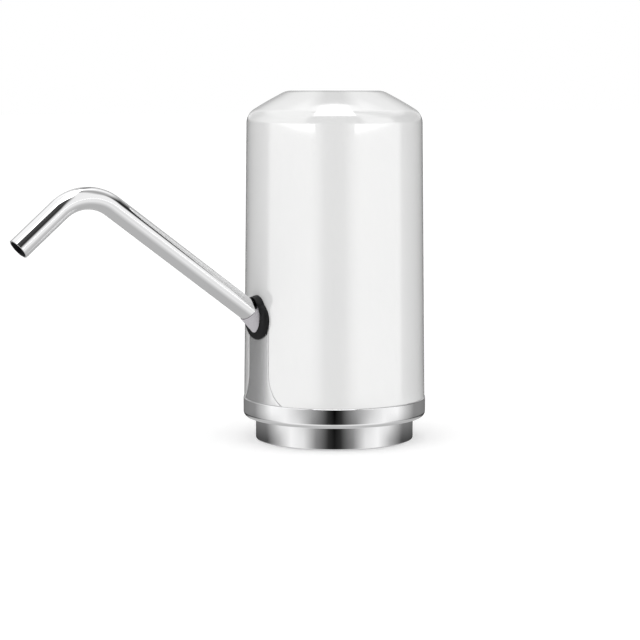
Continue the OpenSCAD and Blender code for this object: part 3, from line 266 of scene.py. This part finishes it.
def grain(tree, scale, detail=4.0, stretch=(1, 1, 1)):
    """Noise on the piece's own coordinates, with features of about one over scale metres."""
    place = tree.nodes.new("ShaderNodeTexCoord")
    mapping = tree.nodes.new("ShaderNodeMapping")
    mapping.inputs["Scale"].default_value = stretch
    noise = tree.nodes.new("ShaderNodeTexNoise")
    noise.inputs["Scale"].default_value = scale
    noise.inputs["Detail"].default_value = detail
    tree.links.new(place.outputs["Object"], mapping.inputs["Vector"])
    tree.links.new(mapping.outputs["Vector"], noise.inputs["Vector"])
    return noise.outputs["Fac"]


def spread(tree, source, low, high):
    """Maps noise to a range of values."""
    ramp = tree.nodes.new("ShaderNodeMapRange")
    ramp.inputs["From Min"].default_value = 0.3
    ramp.inputs["From Max"].default_value = 0.7
    ramp.inputs["To Min"].default_value = low
    ramp.inputs["To Max"].default_value = high
    tree.links.new(source, ramp.inputs["Value"])
    return ramp.outputs["Result"]


def tint(tree, source, low, high):
    """Maps noise between two colours."""
    ramp = tree.nodes.new("ShaderNodeValToRGB")
    ramp.color_ramp.elements[0].position = 0.3
    ramp.color_ramp.elements[0].color = (*low, 1)
    ramp.color_ramp.elements[1].position = 0.7
    ramp.color_ramp.elements[1].color = (*high, 1)
    tree.links.new(source, ramp.inputs["Fac"])
    return ramp.outputs["Color"]


def relief(tree, shader, source, strength, depth):
    """Raises the surface by noise, depth in millimetres."""
    bump = tree.nodes.new("ShaderNodeBump")
    bump.inputs["Strength"].default_value = strength
    bump.inputs["Distance"].default_value = depth * MM
    tree.links.new(source, bump.inputs["Height"])
    tree.links.new(bump.outputs["Normal"], shader.inputs["Normal"])


def shade(color, factor):
    """A darker or paler tone of a colour."""
    return tuple(c * factor for c in color)


def moulded(name, color, rough=(0.28, 0.4), grain_scale=900, depth=0.02, **sockets):
    """Moulded plastic with a fine spark-eroded grain and a slight change of tone."""
    material, tree, shader = finish_base(name, color, **sockets)
    tree.links.new(tint(tree, grain(tree, 35), shade(color, 0.97), color), shader.inputs["Base Color"])
    tree.links.new(spread(tree, grain(tree, 120), *rough), shader.inputs["Roughness"])
    relief(tree, shader, grain(tree, grain_scale), 0.25, depth)
    return material


def metal(name, color, rough=(0.2, 0.32), brush=(1, 1, 1), scale=500, depth=0.004, metallic=1.0):
    """Worked metal, or metallic paint, with fine marks along one direction."""
    material, tree, shader = finish_base(name, color, metallic=metallic)
    tree.links.new(tint(tree, grain(tree, 60), shade(color, 0.95), color), shader.inputs["Base Color"])
    tree.links.new(spread(tree, grain(tree, scale, stretch=brush), *rough), shader.inputs["Roughness"])
    relief(tree, shader, grain(tree, scale, stretch=brush), 0.15, depth)
    return material


def rubber(name, color, rough=(0.5, 0.65), depth=0.03, sheen=0.4):
    """Moulded rubber with a matt grain and faint bloom."""
    material, tree, shader = finish_base(name, color, Specular_IOR_Level=sheen)
    tree.links.new(tint(tree, grain(tree, 150), color, shade(color, 1.5)), shader.inputs["Base Color"])
    tree.links.new(spread(tree, grain(tree, 300), *rough), shader.inputs["Roughness"])
    relief(tree, shader, grain(tree, 1400), 0.3, depth)
    return material


def white_cover_finish():
    """Gloss white moulding under a clear coat, with a faint orange peel."""
    material, tree, shader = finish_base(
        "white_cover_gloss", (0.8, 0.8, 0.798), Coat_Weight=1.0, Coat_Roughness=0.03, Coat_IOR=2.0, IOR=1.5)
    white = tint(tree, grain(tree, 25), (0.812, 0.813, 0.812), (0.827, 0.827, 0.823))
    tree.links.new(white, shader.inputs["Base Color"])
    tree.links.new(spread(tree, grain(tree, 90), 0.1, 0.16), shader.inputs["Roughness"])
    relief(tree, shader, grain(tree, 420, detail=2), 0.04, 0.01)
    return material


def chrome_finish(name, color, rough=(0.03, 0.06)):
    """Polished or plated metal with slight changes of polish."""
    material, tree, shader = finish_base(name, color, metallic=1.0)
    tree.links.new(tint(tree, grain(tree, 40), shade(color, 0.97), color), shader.inputs["Base Color"])
    tree.links.new(spread(tree, grain(tree, 160), *rough), shader.inputs["Roughness"])
    relief(tree, shader, grain(tree, 700, detail=2), 0.03, 0.004)
    return material


def light_ring_finish():
    """Frosted plastic that lets light through."""
    material, tree, shader = finish_base(
        "frosted_light_ring", (0.88, 0.94, 0.98), Transmission_Weight=0.55, IOR=1.49, Subsurface_Weight=0.2)
    frost = tint(tree, grain(tree, 200), (0.84, 0.91, 0.96), (0.9, 0.95, 0.98))
    tree.links.new(frost, shader.inputs["Base Color"])
    tree.links.new(spread(tree, grain(tree, 500), 0.25, 0.35), shader.inputs["Roughness"])
    relief(tree, shader, grain(tree, 1500), 0.2, 0.02)
    return material


FINISHES = {
    "white_cover": white_cover_finish(),
    "chrome_ring": chrome_finish("plated_chrome", (0.93, 0.93, 0.935)),
    "silver_panel": metal(
        "silver_panel", (0.93, 0.93, 0.935), (0.2, 0.26), (40, 40, 1), 60, 0.002, metallic=0.85),
    "black_rubber": rubber("black_rubber", (0.006, 0.006, 0.0065), sheen=0.25),
    "gasket_rubber": rubber("gasket_rubber", (0.06, 0.06, 0.062)),
    "steel_tube": chrome_finish("polished_steel_tube", (0.86, 0.86, 0.865), (0.03, 0.05)),
    # The bore's near-black colour is painted shade inside the tube, much darker than the steel itself.
    "tube_bore": metal("tube_bore_painted_shade", (0.012, 0.012, 0.013), (0.5, 0.6)),
    "grey_plastic": moulded("grey_ferrule_plastic", (0.47, 0.455, 0.48), (0.3, 0.42), 600, 0.03),
    "inner_white": moulded("inner_white_plastic", (0.8, 0.8, 0.79), (0.4, 0.55)),
    "silicone": moulded(
        "clear_silicone", (0.75, 0.78, 0.8), (0.3, 0.4), 300, 0.01, Transmission_Weight=0.5),
    "pump_plastic": moulded("black_pump_plastic", (0.035, 0.035, 0.038), (0.4, 0.55)),
    "valve_rubber": rubber("brown_valve_rubber", (0.1, 0.06, 0.04)),
    "screw_steel": metal("zinc_screw_steel", (0.66, 0.66, 0.68), (0.22, 0.34)),
    "motor_steel": metal("drawn_motor_steel", (0.6, 0.6, 0.61), (0.25, 0.38), (1, 1, 20), 120),
    "magnet": moulded("ferrite_magnet", (0.06, 0.06, 0.065), (0.55, 0.7)),
    "core_steel": metal("laminated_core_steel", (0.4, 0.4, 0.42), (0.35, 0.5), (1, 1, 60), 80),
    "brass": metal("brass", (0.8, 0.6, 0.3), (0.2, 0.34)),
    "copper": metal("enamelled_copper", (0.72, 0.34, 0.17), (0.25, 0.38), (1, 1, 30), 150),
    "carbon": moulded("brush_carbon", (0.03, 0.03, 0.03), (0.6, 0.75)),
    "cell_wrap": moulded("green_cell_wrap", (0.05, 0.3, 0.18), (0.22, 0.3), 200, 0.01),
    "contact_nickel": metal("plated_nickel", (0.74, 0.72, 0.68), (0.16, 0.26)),
    "lead_insulation": moulded("red_lead_insulation", (0.45, 0.03, 0.025), (0.35, 0.45)),
    "circuit_board": moulded("green_solder_mask", (0.015, 0.16, 0.07), (0.28, 0.38), 250, 0.02),
    "led_lens": moulded("led_lens", (0.85, 0.85, 0.72), (0.12, 0.2), 300, 0.005),
    "light_diffuser": light_ring_finish(),
}


# Pieces

def tongue_outline(grow, foot_z):
    """Outline of the silver panel from the front, grown by a gap."""
    side_steps, arch_steps = 16, 32
    turn = math.asin(FLARE_H / FLARE_R)
    side = []
    for k in range(side_steps + 1):
        a = math.pi + turn * (1 - k / side_steps)
        side.append((TONGUE_HALF + FLARE_R + (FLARE_R - grow) * math.cos(a),
                     COLLAR_TOP + FLARE_H + (FLARE_R - grow) * math.sin(a)))
    arch_r = TONGUE_HALF + grow
    arch = []
    for k in range(arch_steps + 1):
        a = math.pi * k / arch_steps
        arch.append((arch_r * math.cos(a), GROMMET_Z + arch_r * math.sin(a)))
    mirrored = [(-x, z) for x, z in reversed(side)]
    return [(side[0][0], foot_z), *side, *arch, *mirrored, (-side[0][0], foot_z)]


def cover_shell():
    """White cover with its sloping top, the hole for the button, the tongue's place and the port."""
    slope = math.atan2(TOP_Z - SHOULDER_Z, SHOULDER_R - TOP_R)
    bulge = CONE_CROWN * Vector((math.sin(slope), math.cos(slope)))

    def sloping_top(inset):
        """Corners of the sloping top, moved in by a wall's thickness."""
        shoulder_z = SHOULDER_Z + inset * math.tan(slope) - inset / math.cos(slope)
        shoulder = Vector((SHOULDER_R - inset, shoulder_z))
        edge = Vector((TOP_R - inset * math.tan(slope / 2), TOP_Z - inset))
        crown = (shoulder + edge) / 2 + bulge
        return [(*shoulder, SHOULDER_ROUND - inset), (*crown, CROWN_ROUND - inset),
                (*edge, TOP_ROUND - inset)]

    wall_rows = [(wall_r(z), z) for z in (25, 35, 45, 59, 65, 75, 85, 95, 105, 115)]
    shell = lathe("cover_shell", rounded([
        (COVER_R, COLLAR_TOP),
        *wall_rows,
        *sloping_top(0),
        (TOP_HOLE_R, TOP_Z),
        (TOP_HOLE_R, TOP_Z - COVER_WALL),
        *reversed(sloping_top(COVER_WALL)),
        (COVER_R - COVER_WALL, COLLAR_TOP),
    ], 16))
    carve(shell, prism("tongue_cutter", tongue_outline(SLIP + SEAM, COLLAR_TOP - 1), 0, -COVER_R - 5))
    half_w, half_h = PORT_W / 2, PORT_H / 2
    port = rounded([
        (half_w, PORT_Z - half_h, PORT_ROUND), (half_w, PORT_Z + half_h, PORT_ROUND),
        (-half_w, PORT_Z + half_h, PORT_ROUND), (-half_w, PORT_Z - half_h, PORT_ROUND)])
    carve(shell, prism("port_cutter", port, COVER_R / 2, COVER_R + 5))
    merge_close(shell, 0.03)
    soften(shell, 0.2)
    settle(shell, "housing", "white_cover", FINISHES["white_cover"], "top_cover")


def collar_ring():
    """Chrome ring under the cover."""
    collar = lathe("collar_ring", rounded([
        (COLLAR_SEAT_R, COLLAR_Z),
        (COLLAR_R, COLLAR_Z, 2.0),
        (COLLAR_R, COLLAR_TOP, 0.3),
        (COLLAR_BORE_R, COLLAR_TOP),
        (COLLAR_BORE_R, COLLAR_FLANGE_TOP),
        (COLLAR_SEAT_R, COLLAR_FLANGE_TOP),
    ], 12))
    settle(collar, "housing", "chrome_ring", FINISHES["chrome_ring"], "collar")


def neck_ring():
    """Chrome base ring, with its ceiling and three sunk screw holes."""
    ring = lathe("neck_ring", rounded([
        (NECK_R, 0, 0.3),
        (RING_R, 0, 0.5),
        (RING_R, COLLAR_Z),
        (RING_STEP_R, COLLAR_Z),
        (RING_STEP_R, CEILING_TOP),
        (RECESS_R, CEILING_TOP),
        (RECESS_R, CEILING_Z, 0.3),
        (GROOVE_R, CEILING_Z),
        (GROOVE_R, NECK_DEPTH),
        (NECK_R, NECK_DEPTH, 0.2),
    ], 6))
    for angle in SCREW_ANGLES:
        a = math.radians(angle)
        place = Vector((SCREW_CIRCLE_R * math.cos(a), SCREW_CIRCLE_R * math.sin(a), 0))
        deselect()
        bpy.ops.mesh.primitive_cone_add(
            vertices=SCREW_TURNS, radius1=SCREW_HEAD_R * MM, radius2=SCREW_R * MM,
            depth=SCREW_SINK_DEPTH * MM,
            location=(place + Vector((0, 0, CEILING_Z + SCREW_SINK_DEPTH / 2))) * MM)
        sink = bpy.context.object
        bpy.ops.object.transform_apply(location=True, rotation=True, scale=True)
        carve(ring, sink)
        below, above = Vector((0, 0, CEILING_Z - 1)), Vector((0, 0, CEILING_TOP + 1))
        carve(ring, rod("screw_drill", place + below, place + above, SCREW_R, SCREW_TURNS))
    settle(ring, "housing", "chrome_ring", FINISHES["chrome_ring"], "base_ring")


def sealing_gasket():
    """Flat rubber ring with three grooves in its face."""
    groove_z = NECK_DEPTH + GASKET_GROOVE_DEPTH
    bed = []
    for middle in GASKET_GROOVES:
        bed += [(middle - GASKET_GROOVE_HALF, NECK_DEPTH), (middle - GASKET_BED_HALF, groove_z),
                (middle + GASKET_BED_HALF, groove_z), (middle + GASKET_GROOVE_HALF, NECK_DEPTH)]
    gasket = lathe("sealing_gasket", rounded([
        (GASKET_HOLE_R, NECK_DEPTH, 0.3), *bed, (GASKET_R, NECK_DEPTH, 0.2), (GASKET_R, CEILING_Z, 0.2),
        (GASKET_HOLE_R, CEILING_Z, 0.3)], 4))
    settle(gasket, "housing", "gasket_rubber", FINISHES["gasket_rubber"], "neck_gasket")


def out_of_wall(distance):
    """A point straight out from the body's axis at the grommet's height."""
    return Vector((0, -distance, GROMMET_Z))


def silver_tongue():
    """Silver panel set flush in the cover, with the hole for the grommet's neck."""
    top = GROMMET_Z + TONGUE_HALF + 3
    low = COLLAR_TOP
    panel = lathe("silver_tongue", [
        (wall_r(low) - SLIP - PANEL_T, low), (wall_r(low) - SLIP, low),
        (wall_r(top) - SLIP, top), (wall_r(top) - SLIP - PANEL_T, top)])
    carve(panel, prism("tongue_form", tongue_outline(-SEAM, low - 1), 0, -COVER_R - 5), "INTERSECT")
    carve(panel, rod("neck_drill", out_of_wall(0), out_of_wall(COVER_R + 5), GROMMET_NECK_R + SLIP))
    merge_close(panel, 0.03)
    soften(panel, 0.25)
    settle(panel, "housing", "silver_panel", FINISHES["silver_panel"], "spout_panel")


def on_spout(along):
    """A point on the spout's axis, outwards from the cover's wall."""
    return SPOUT_MOUTH + SPOUT_OUT * along


def turn_to_spout(piece, along=0.0, tip_over=0.0):
    """Lays a piece that was spun about Z on the spout's axis, or tipped over at a place along it."""
    deselect()
    piece.select_set(True)
    bpy.context.view_layer.objects.active = piece
    piece.rotation_euler = (math.radians(90 - SPOUT_RISE + tip_over), 0, 0)
    piece.location = on_spout(along) * MM
    bpy.ops.object.transform_apply(location=True, rotation=True, scale=True)


def rubber_grommet():
    """Rubber grommet: a flange and its hood outside, a neck through the panel and a flange inside."""
    flange = rod("rubber_grommet", out_of_wall(SPOUT_RHO - 6), out_of_wall(SPOUT_RHO + GROMMET_PROUD),
                 GROMMET_R, round_end=GROMMET_ROUND)
    # The hood leans out over the tube and sinks into the flange beside it.
    lean = math.radians(LIP_LEAN)
    hood_face = Vector((0, -SPOUT_RHO - LIP_PROUD, LIP_Z))
    hood_axis = Vector((0, -math.cos(lean), -math.sin(lean)))
    hood = rod("hood", hood_face - hood_axis * LIP_L, hood_face, LIP_R, round_end=LIP_ROUND)
    carve(flange, hood, "UNION")
    low, high, lift = COLLAR_TOP, SHOULDER_Z, 0.05
    carve(flange, lathe("wall_form", [
        (0, low), (wall_r(low) + lift, low), (wall_r(high) + lift, high), (0, high)]))
    inside = wall_r(GROMMET_Z) - SLIP - PANEL_T - GROMMET_INNER_T
    neck = rod("neck", out_of_wall(inside), out_of_wall(SPOUT_RHO + 0.65), GROMMET_NECK_R)
    carve(flange, neck, "UNION")
    inner_end = out_of_wall(inside + GROMMET_INNER_T - 0.5)
    carve(flange, rod("inner_flange", out_of_wall(inside), inner_end, TONGUE_HALF - SLIP), "UNION")
    carve(flange, rod("tail_drill", on_spout(-20), on_spout(1), TAIL_R + 2 * CLEAR))
    carve(flange, rod("tube_drill", on_spout(0), on_spout(20), TUBE_R + TUBE_CLEAR))
    merge_close(flange, 0.08)
    soften(flange, 0.1, angle=50)
    settle(flange, "housing", "black_rubber", FINISHES["black_rubber"], "spout_grommet")


def ferrule():
    """Grey plug: a tail with the bed of its sealing ring, a spigot for the tube and a ribbed skirt."""
    start, end = TUBE_STAND - TAPER_L, TUBE_STAND
    edge_r = TUBE_R - FERRULE_STEP
    spigot_r = TUBE_R - TUBE_WALL - SPIGOT_SLIP
    plug = lathe("spout_plug", rounded([
        (CHANNEL_R, TAIL_END, 0.3), (TAIL_R, TAIL_END, 0.5),
        (TAIL_R, O_RING_S - O_RING_HALF, 0.1), (O_RING_BED_R, O_RING_S - O_RING_HALF),
        (O_RING_BED_R, O_RING_S + O_RING_HALF), (TAIL_R, O_RING_S + O_RING_HALF, 0.1),
        (TAIL_R, start), (TAIL_R + CLEAR, start), (edge_r, end),
        (spigot_r, end), (spigot_r, SPIGOT_END, 0.4), (CHANNEL_R, SPIGOT_END, 0.3)], 5), BAR_TURNS)
    turn_to_spout(plug)
    # The drooping skirt has fine ribs, and its end is cut to the grommet's face.
    ribs = []
    for k in range(RIBS):
        s = RIB_START + k * RIB_PITCH
        r = SKIRT_R + (SKIRT_END_R - SKIRT_R) * s / SKIRT_L
        ribs += [(r, s - RIB_HALF), (r - RIB_DEPTH, s - RIB_BED_HALF),
                 (r - RIB_DEPTH, s + RIB_BED_HALF), (r, s + RIB_HALF)]
    skirt = lathe("skirt", rounded([
        (0, 0), (SKIRT_R, 0, 0.15), *ribs, (SKIRT_END_R, SKIRT_L), (0, SKIRT_L)]), BAR_TURNS)
    turn_to_spout(skirt, TUBE_STAND + SKIRT_LAP, 180 - SKIRT_DROOP)
    face = Vector((0, -SPOUT_RHO - GROMMET_PROUD - SLIP, SPOUT_Z))
    carve(skirt, rod("face_cutter", Vector((0, 0, SPOUT_Z)), face, 20))
    carve(skirt, rod("tube_bore", on_spout(TUBE_STAND - SKIRT_LAP), on_spout(12), TUBE_R + 0.1))
    carve(skirt, rod("tail_bore", on_spout(-10), on_spout(10), TAIL_R - CLEAR))
    carve(plug, skirt, "UNION")
    merge_close(plug, 0.01)
    settle(plug, "ferrule", "grey_plastic", FINISHES["grey_plastic"], "spout_ferrule")


def sealing_ring():
    """Rubber ring in its bed on the plug's tail."""
    outer, inner, half = TAIL_R + 0.02, O_RING_BED_R + 0.015, 0.7
    ring = lathe("sealing_ring", rounded([
        (inner, O_RING_S - half, 0.4), (outer, O_RING_S - half, 0.44), (outer, O_RING_S + half, 0.44),
        (inner, O_RING_S + half, 0.4)], 8), TUBE_TURNS)
    turn_to_spout(ring)
    settle(ring, "ferrule", "black_rubber", FINISHES["black_rubber"], "spout_o_ring")


def steel_pipe():
    """Bent steel tube: a straight arm, the bend and a short tip."""
    start = on_spout(TUBE_STAND)
    bend = start + SPOUT_OUT * ARM_L
    turn = math.radians(BEND_ANGLE)
    deselect()
    bpy.ops.mesh.primitive_circle_add(vertices=TUBE_TURNS, radius=TUBE_R * MM)
    pipe = bpy.context.object
    pipe.name = pipe.data.name = "steel_pipe"
    pipe.rotation_euler = (math.radians(90 - SPOUT_RISE), 0, 0)
    pipe.location = start * MM
    bpy.ops.object.transform_apply(location=True, rotation=True, scale=True)
    bpy.ops.object.mode_set(mode="EDIT")
    bpy.ops.mesh.select_all(action="SELECT")
    bpy.ops.mesh.extrude_region_move(TRANSFORM_OT_translate={"value": SPOUT_OUT * ARM_L * MM})
    bend_centre = bend + SPOUT_UNDER * BEND_R
    bpy.ops.mesh.spin(steps=BEND_STEPS, angle=-turn, center=bend_centre * MM, axis=(1, 0, 0))
    tip = SPOUT_OUT * math.cos(turn) + SPOUT_UNDER * math.sin(turn)
    bpy.ops.mesh.extrude_region_move(TRANSFORM_OT_translate={"value": tip * TIP_L * MM})
    close_mesh()
    # The bore is painted near black as painted shade inside the tube, and only the outside is polished.
    for finish in ("steel_tube", "tube_bore"):
        pipe.data.materials.append(FINISHES[finish])
    use(pipe, "SOLIDIFY", thickness=TUBE_WALL * MM, offset=-1, material_offset=1)
    soften(pipe, 0.15, 3, 60)
    bore = [face.index for face in pipe.data.polygons if face.material_index == 1]
    settle(pipe, "spout", "steel_tube", FINISHES["steel_tube"], "spout_tube")
    pipe.data.materials.append(FINISHES["tube_bore"])
    for index in bore:
        pipe.data.polygons[index].material_index = 1
    # The gloss cover doesn't mirror the tube.
    pipe.visible_glossy = False


def push_button():
    """Button cap with a shallow dish, a flange that keeps it in and the stem to the switch."""
    dish = [(0, BUTTON_TOP - BUTTON_DISH_DEPTH)]
    for k in range(1, BUTTON_DISH_STEPS + 1):
        depth = BUTTON_DISH_DEPTH * (0.5 + 0.5 * math.cos(math.pi * k / BUTTON_DISH_STEPS))
        dish.append((BUTTON_DISH_R * k / BUTTON_DISH_STEPS, BUTTON_TOP - depth))
    cap = lathe("push_button", rounded([
        *dish, (BUTTON_R, BUTTON_TOP, 0.6), (BUTTON_R, BUTTON_FLANGE_TOP),
        (BUTTON_FLANGE_R, BUTTON_FLANGE_TOP, 0.2), (BUTTON_FLANGE_R, BUTTON_FLANGE_Z),
        (BUTTON_BORE_R, BUTTON_FLANGE_Z), (BUTTON_BORE_R, BUTTON_UNDER),
        (STEM_R, BUTTON_UNDER), (STEM_R, STEM_Z, 0.3), (0, STEM_Z)], 6))
    settle(cap, "button", "white_cover", FINISHES["white_cover"], "power_button")


def glow_ring():
    """Frosted ring round the button, with its flange under the cover."""
    ring = lathe("glow_ring", rounded([
        (LIGHT_BORE_R, LIGHT_Z), (LIGHT_FLANGE_R, LIGHT_Z), (LIGHT_FLANGE_R, LIGHT_FLANGE_TOP, 0.2),
        (LIGHT_R, LIGHT_FLANGE_TOP), (LIGHT_R, TOP_Z, 0.35), (LIGHT_BORE_R, TOP_Z, 0.35)], 6))
    settle(ring, "housing", "light_diffuser", FINISHES["light_diffuser"], "light_ring")


for make in (cover_shell, collar_ring, neck_ring, sealing_gasket, silver_tongue, rubber_grommet, ferrule,
             sealing_ring, steel_pipe, push_button, glow_ring):
    make()

# The pieces inside keep their solids and get the finish of their slot.
for part in frame["record"]["subparts"]:
    node = frame["nodes"][part["node"]]
    node.data.materials.clear()
    node.data.materials.append(FINISHES[part["material_slot"]])


# Studio

CAMERA_AZIMUTH = math.radians(58)
CAMERA_PITCH = math.radians(6.577)
CAMERA_DISTANCE, CAMERA_SHIFT, CAMERA_HEIGHT = 0.8023, 0.00583, 0.140455
CAMERA_LENS, CAMERA_SENSOR = 111.86, 36
FLOOR_SIZE, FLOOR_Z = 20, -0.0002
TOWARDS_CAMERA = Vector((math.sin(CAMERA_AZIMUTH), -math.cos(CAMERA_AZIMUTH), 0))
CAMERA_RIGHT = Vector((math.cos(CAMERA_AZIMUTH), math.sin(CAMERA_AZIMUTH), 0))


def camera():
    """Camera at the photograph's viewing angle."""
    level = TOWARDS_CAMERA * CAMERA_DISTANCE - CAMERA_RIGHT * CAMERA_SHIFT
    bpy.ops.object.camera_add(
        location=level + Vector((0, 0, CAMERA_HEIGHT)),
        rotation=(math.pi / 2 - CAMERA_PITCH, 0, CAMERA_AZIMUTH))
    eye = bpy.context.object
    eye.data.lens = CAMERA_LENS
    eye.data.sensor_width = CAMERA_SENSOR
    eye.data.clip_end = 50
    bpy.context.scene.camera = eye


def floor():
    """Plain pale floor just under the base ring."""
    deselect()
    bpy.ops.mesh.primitive_plane_add(size=FLOOR_SIZE, location=(0, 0, FLOOR_Z))
    plane = bpy.context.object
    plane.name = "pale_floor"
    material, tree, shader = finish_base(
        "pale_floor", (0.95, 0.95, 0.95), roughness=0.9, Specular_IOR_Level=0.0,
        Emission_Color=(1, 1, 1, 1), Emission_Strength=0.25)
    pale = tint(tree, grain(tree, 3), (0.945, 0.945, 0.945), (0.955, 0.955, 0.955))
    tree.links.new(pale, shader.inputs["Base Color"])
    plane.data.materials.append(material)
    plane.visible_glossy = False


def studio_world():
    """A white studio: dark where the camera stands, bright panels on both sides, grey behind.

    Glossy rays see the panels, other rays a soft light, and the camera plain white.
    """
    world = bpy.data.worlds.new("studio")
    bpy.context.scene.world = world
    world.use_nodes = True
    tree = world.node_tree
    nodes, links = tree.nodes, tree.links
    background = nodes["Background"]
    place = nodes.new("ShaderNodeTexCoord")
    turn = nodes.new("ShaderNodeMapping")
    turn.vector_type = "VECTOR"
    turn.inputs["Rotation"].default_value = (0, 0, math.pi / 2 - CAMERA_AZIMUTH)
    links.new(place.outputs["Generated"], turn.inputs["Vector"])
    split = nodes.new("ShaderNodeSeparateXYZ")
    links.new(turn.outputs["Vector"], split.inputs["Vector"])

    def step(operation, a, b=None):
        """One sum on sockets or numbers."""
        node = nodes.new("ShaderNodeMath")
        node.operation = operation
        for socket, value in zip(node.inputs, (a, b)):
            if value is None:
                continue
            if isinstance(value, (int, float)):
                socket.default_value = value
            else:
                links.new(value, socket)
        return node.outputs[0]

    def plain(level):
        """The grey of a light level."""
        return (level, level, level, 1)

    def panels(angle, stops):
        """Light levels by the angle from the camera, in degrees to either side."""
        ramp = nodes.new("ShaderNodeValToRGB")
        elements = ramp.color_ramp.elements
        while len(elements) < len(stops):
            elements.new(0.5)
        for element, (degrees, level) in zip(elements, stops):
            element.position = degrees / 180
            element.color = plain(level)
        links.new(step("DIVIDE", angle, math.pi), ramp.inputs["Fac"])
        return ramp.outputs["Color"]

    def fade(value, start, end):
        """0 at the start and 1 at the end of a range."""
        node = nodes.new("ShaderNodeMapRange")
        node.inputs["From Min"].default_value = start
        node.inputs["From Max"].default_value = end
        links.new(value, node.inputs["Value"])
        return node.outputs["Result"]

    def choose(factor, a, b):
        """Mixes two levels, each a socket or a colour."""
        mix = nodes.new("ShaderNodeMix")
        mix.data_type = "RGBA"
        links.new(factor, mix.inputs["Factor"])
        for socket, value in zip((mix.inputs[6], mix.inputs[7]), (a, b)):
            if isinstance(value, tuple):
                socket.default_value = value
            else:
                links.new(value, socket)
        return mix.outputs[2]

    toward, across, rise = split.outputs["X"], split.outputs["Y"], split.outputs["Z"]
    round_angle = step("ABSOLUTE", step("ARCTAN2", across, toward))
    dark, grey, white = plain(0.02), plain(0.52), plain(3.0)

    # Panels from the height of the cover down to the floor
    beside_cover = panels(round_angle, [
        (0, 0.0), (12, 0.12), (22, 0.7), (32, 1.0), (90, 1.05), (98, 0.3), (110, 0.15), (180, 0.12)])
    beside_collar = panels(round_angle, [
        (0, 0.0), (8, 0.03), (15, 0.15), (39, 0.53), (64, 0.95), (86, 1.05), (100, 0.65), (120, 0.28),
        (180, 0.16)])
    beside_ring = panels(round_angle, [
        (0, 0.01), (9, 0.03), (27, 0.24), (46, 0.85), (66, 1.0), (88, 0.45), (115, 0.07), (180, 0.02)])
    under = panels(round_angle, [
        (0, 0.7), (20, 0.95), (62, 0.95), (80, 0.65), (110, 0.52), (135, 0.44), (160, 0.52), (180, 0.65)])
    # Panels above the cover's height
    above_left = panels(round_angle, [
        (0, 0.02), (33, 0.04), (44, 1.0), (90, 1.05), (117, 0.7), (131, 0.4), (149, 0.55), (160, 0.9),
        (180, 1.0)])
    above_right = panels(round_angle, [
        (0, 0.02), (33, 0.04), (44, 1.0), (72, 1.05), (80, 1.0), (88, 0.12), (94, 0.02), (114, 0.03),
        (126, 0.15), (143, 0.35), (161, 0.75), (180, 1.0)])
    high_left = panels(round_angle, [
        (0, 0.1), (8, 0.06), (34, 0.08), (46, 1.0), (95, 1.1), (120, 1.1), (132, 1.1), (148, 1.3),
        (157, 1.5), (180, 1.5)])
    high_right = panels(round_angle, [
        (0, 0.1), (8, 0.06), (34, 0.08), (46, 1.0), (66, 1.0), (75, 0.6), (88, 0.4), (106, 0.5),
        (129, 0.95), (148, 1.3), (157, 1.5), (180, 1.5)])
    on_right = fade(across, -0.02, 0.04)
    above = choose(on_right, above_left, above_right)
    high = choose(on_right, high_left, high_right)

    mirrored = choose(fade(rise, -0.14, -0.152), beside_cover, beside_collar)
    mirrored = choose(fade(rise, -0.162, -0.176), mirrored, beside_ring)
    mirrored = choose(fade(rise, -0.25, -0.4), mirrored, under)
    mirrored = choose(fade(rise, -0.45, -0.85), mirrored, grey)
    mirrored = choose(fade(rise, 0.05, 0.11), mirrored, above)
    mirrored = choose(fade(rise, 0.5, 0.65), mirrored, high)

    # Bright sill along the lower edge of the upper panels
    sill = step("MULTIPLY", fade(rise, 0.0035, 0.0055), fade(rise, 0.02, 0.012))
    sill_span = step("MULTIPLY", fade(round_angle, math.radians(24), math.radians(27)),
                     fade(round_angle, math.radians(105), math.radians(80)))
    mirrored = choose(step("MULTIPLY", sill, sill_span), mirrored, white)

    # Dark gap overhead between the front and the back panels
    gap = step("MULTIPLY", fade(toward, 0.25, 0.08), fade(toward, -0.3, -0.15))
    mirrored = choose(step("MULTIPLY", gap, fade(rise, 0.95, 0.985)), mirrored, dark)

    # Strip light overhead, drawn as a mirror that leans back would show it from the front
    lean = step("ADD", toward, 1.0)
    width, height = step("DIVIDE", step("ABSOLUTE", across), lean), step("DIVIDE", rise, lean)
    sides = fade(step("ADD", width, step("MULTIPLY", height, 0.046)), 0.285, 0.27)
    ends = step("MULTIPLY", fade(height, 0.53, 0.57), fade(height, 1.66, 1.62))
    mirrored = choose(step("MULTIPLY", sides, ends), mirrored, white)

    # Behind the strip the panels fall off, most of all in the middle and far back
    behind = step("MULTIPLY", fade(height, 1.6, 2.0), fade(rise, 0.4, 0.6))
    mirrored = choose(behind, mirrored, plain(0.88))
    mirrored = choose(fade(height, 2.2, 4.5), mirrored, plain(0.42))
    middle = step("MULTIPLY", fade(width, 0.42, 0.15), fade(height, 1.64, 1.7))
    mirrored = choose(middle, mirrored, plain(0.3))

    # Soft light for the rays that aren't glossy, dimmer from behind
    lit = panels(round_angle, [(0, 1.0), (60, 1.0), (90, 0.8), (120, 0.4), (180, 0.2)])
    lit = choose(fade(rise, 0.5, 0.9), lit, plain(1.15))
    rays = nodes.new("ShaderNodeLightPath")
    inside = choose(rays.outputs["Is Glossy Ray"], lit, mirrored)
    seen = choose(rays.outputs["Is Camera Ray"], inside, plain(1))
    links.new(seen, background.inputs["Color"])
    background.inputs["Strength"].default_value = 1.0


camera()
floor()
studio_world()
bpy.context.scene.view_settings.view_transform = "Standard"
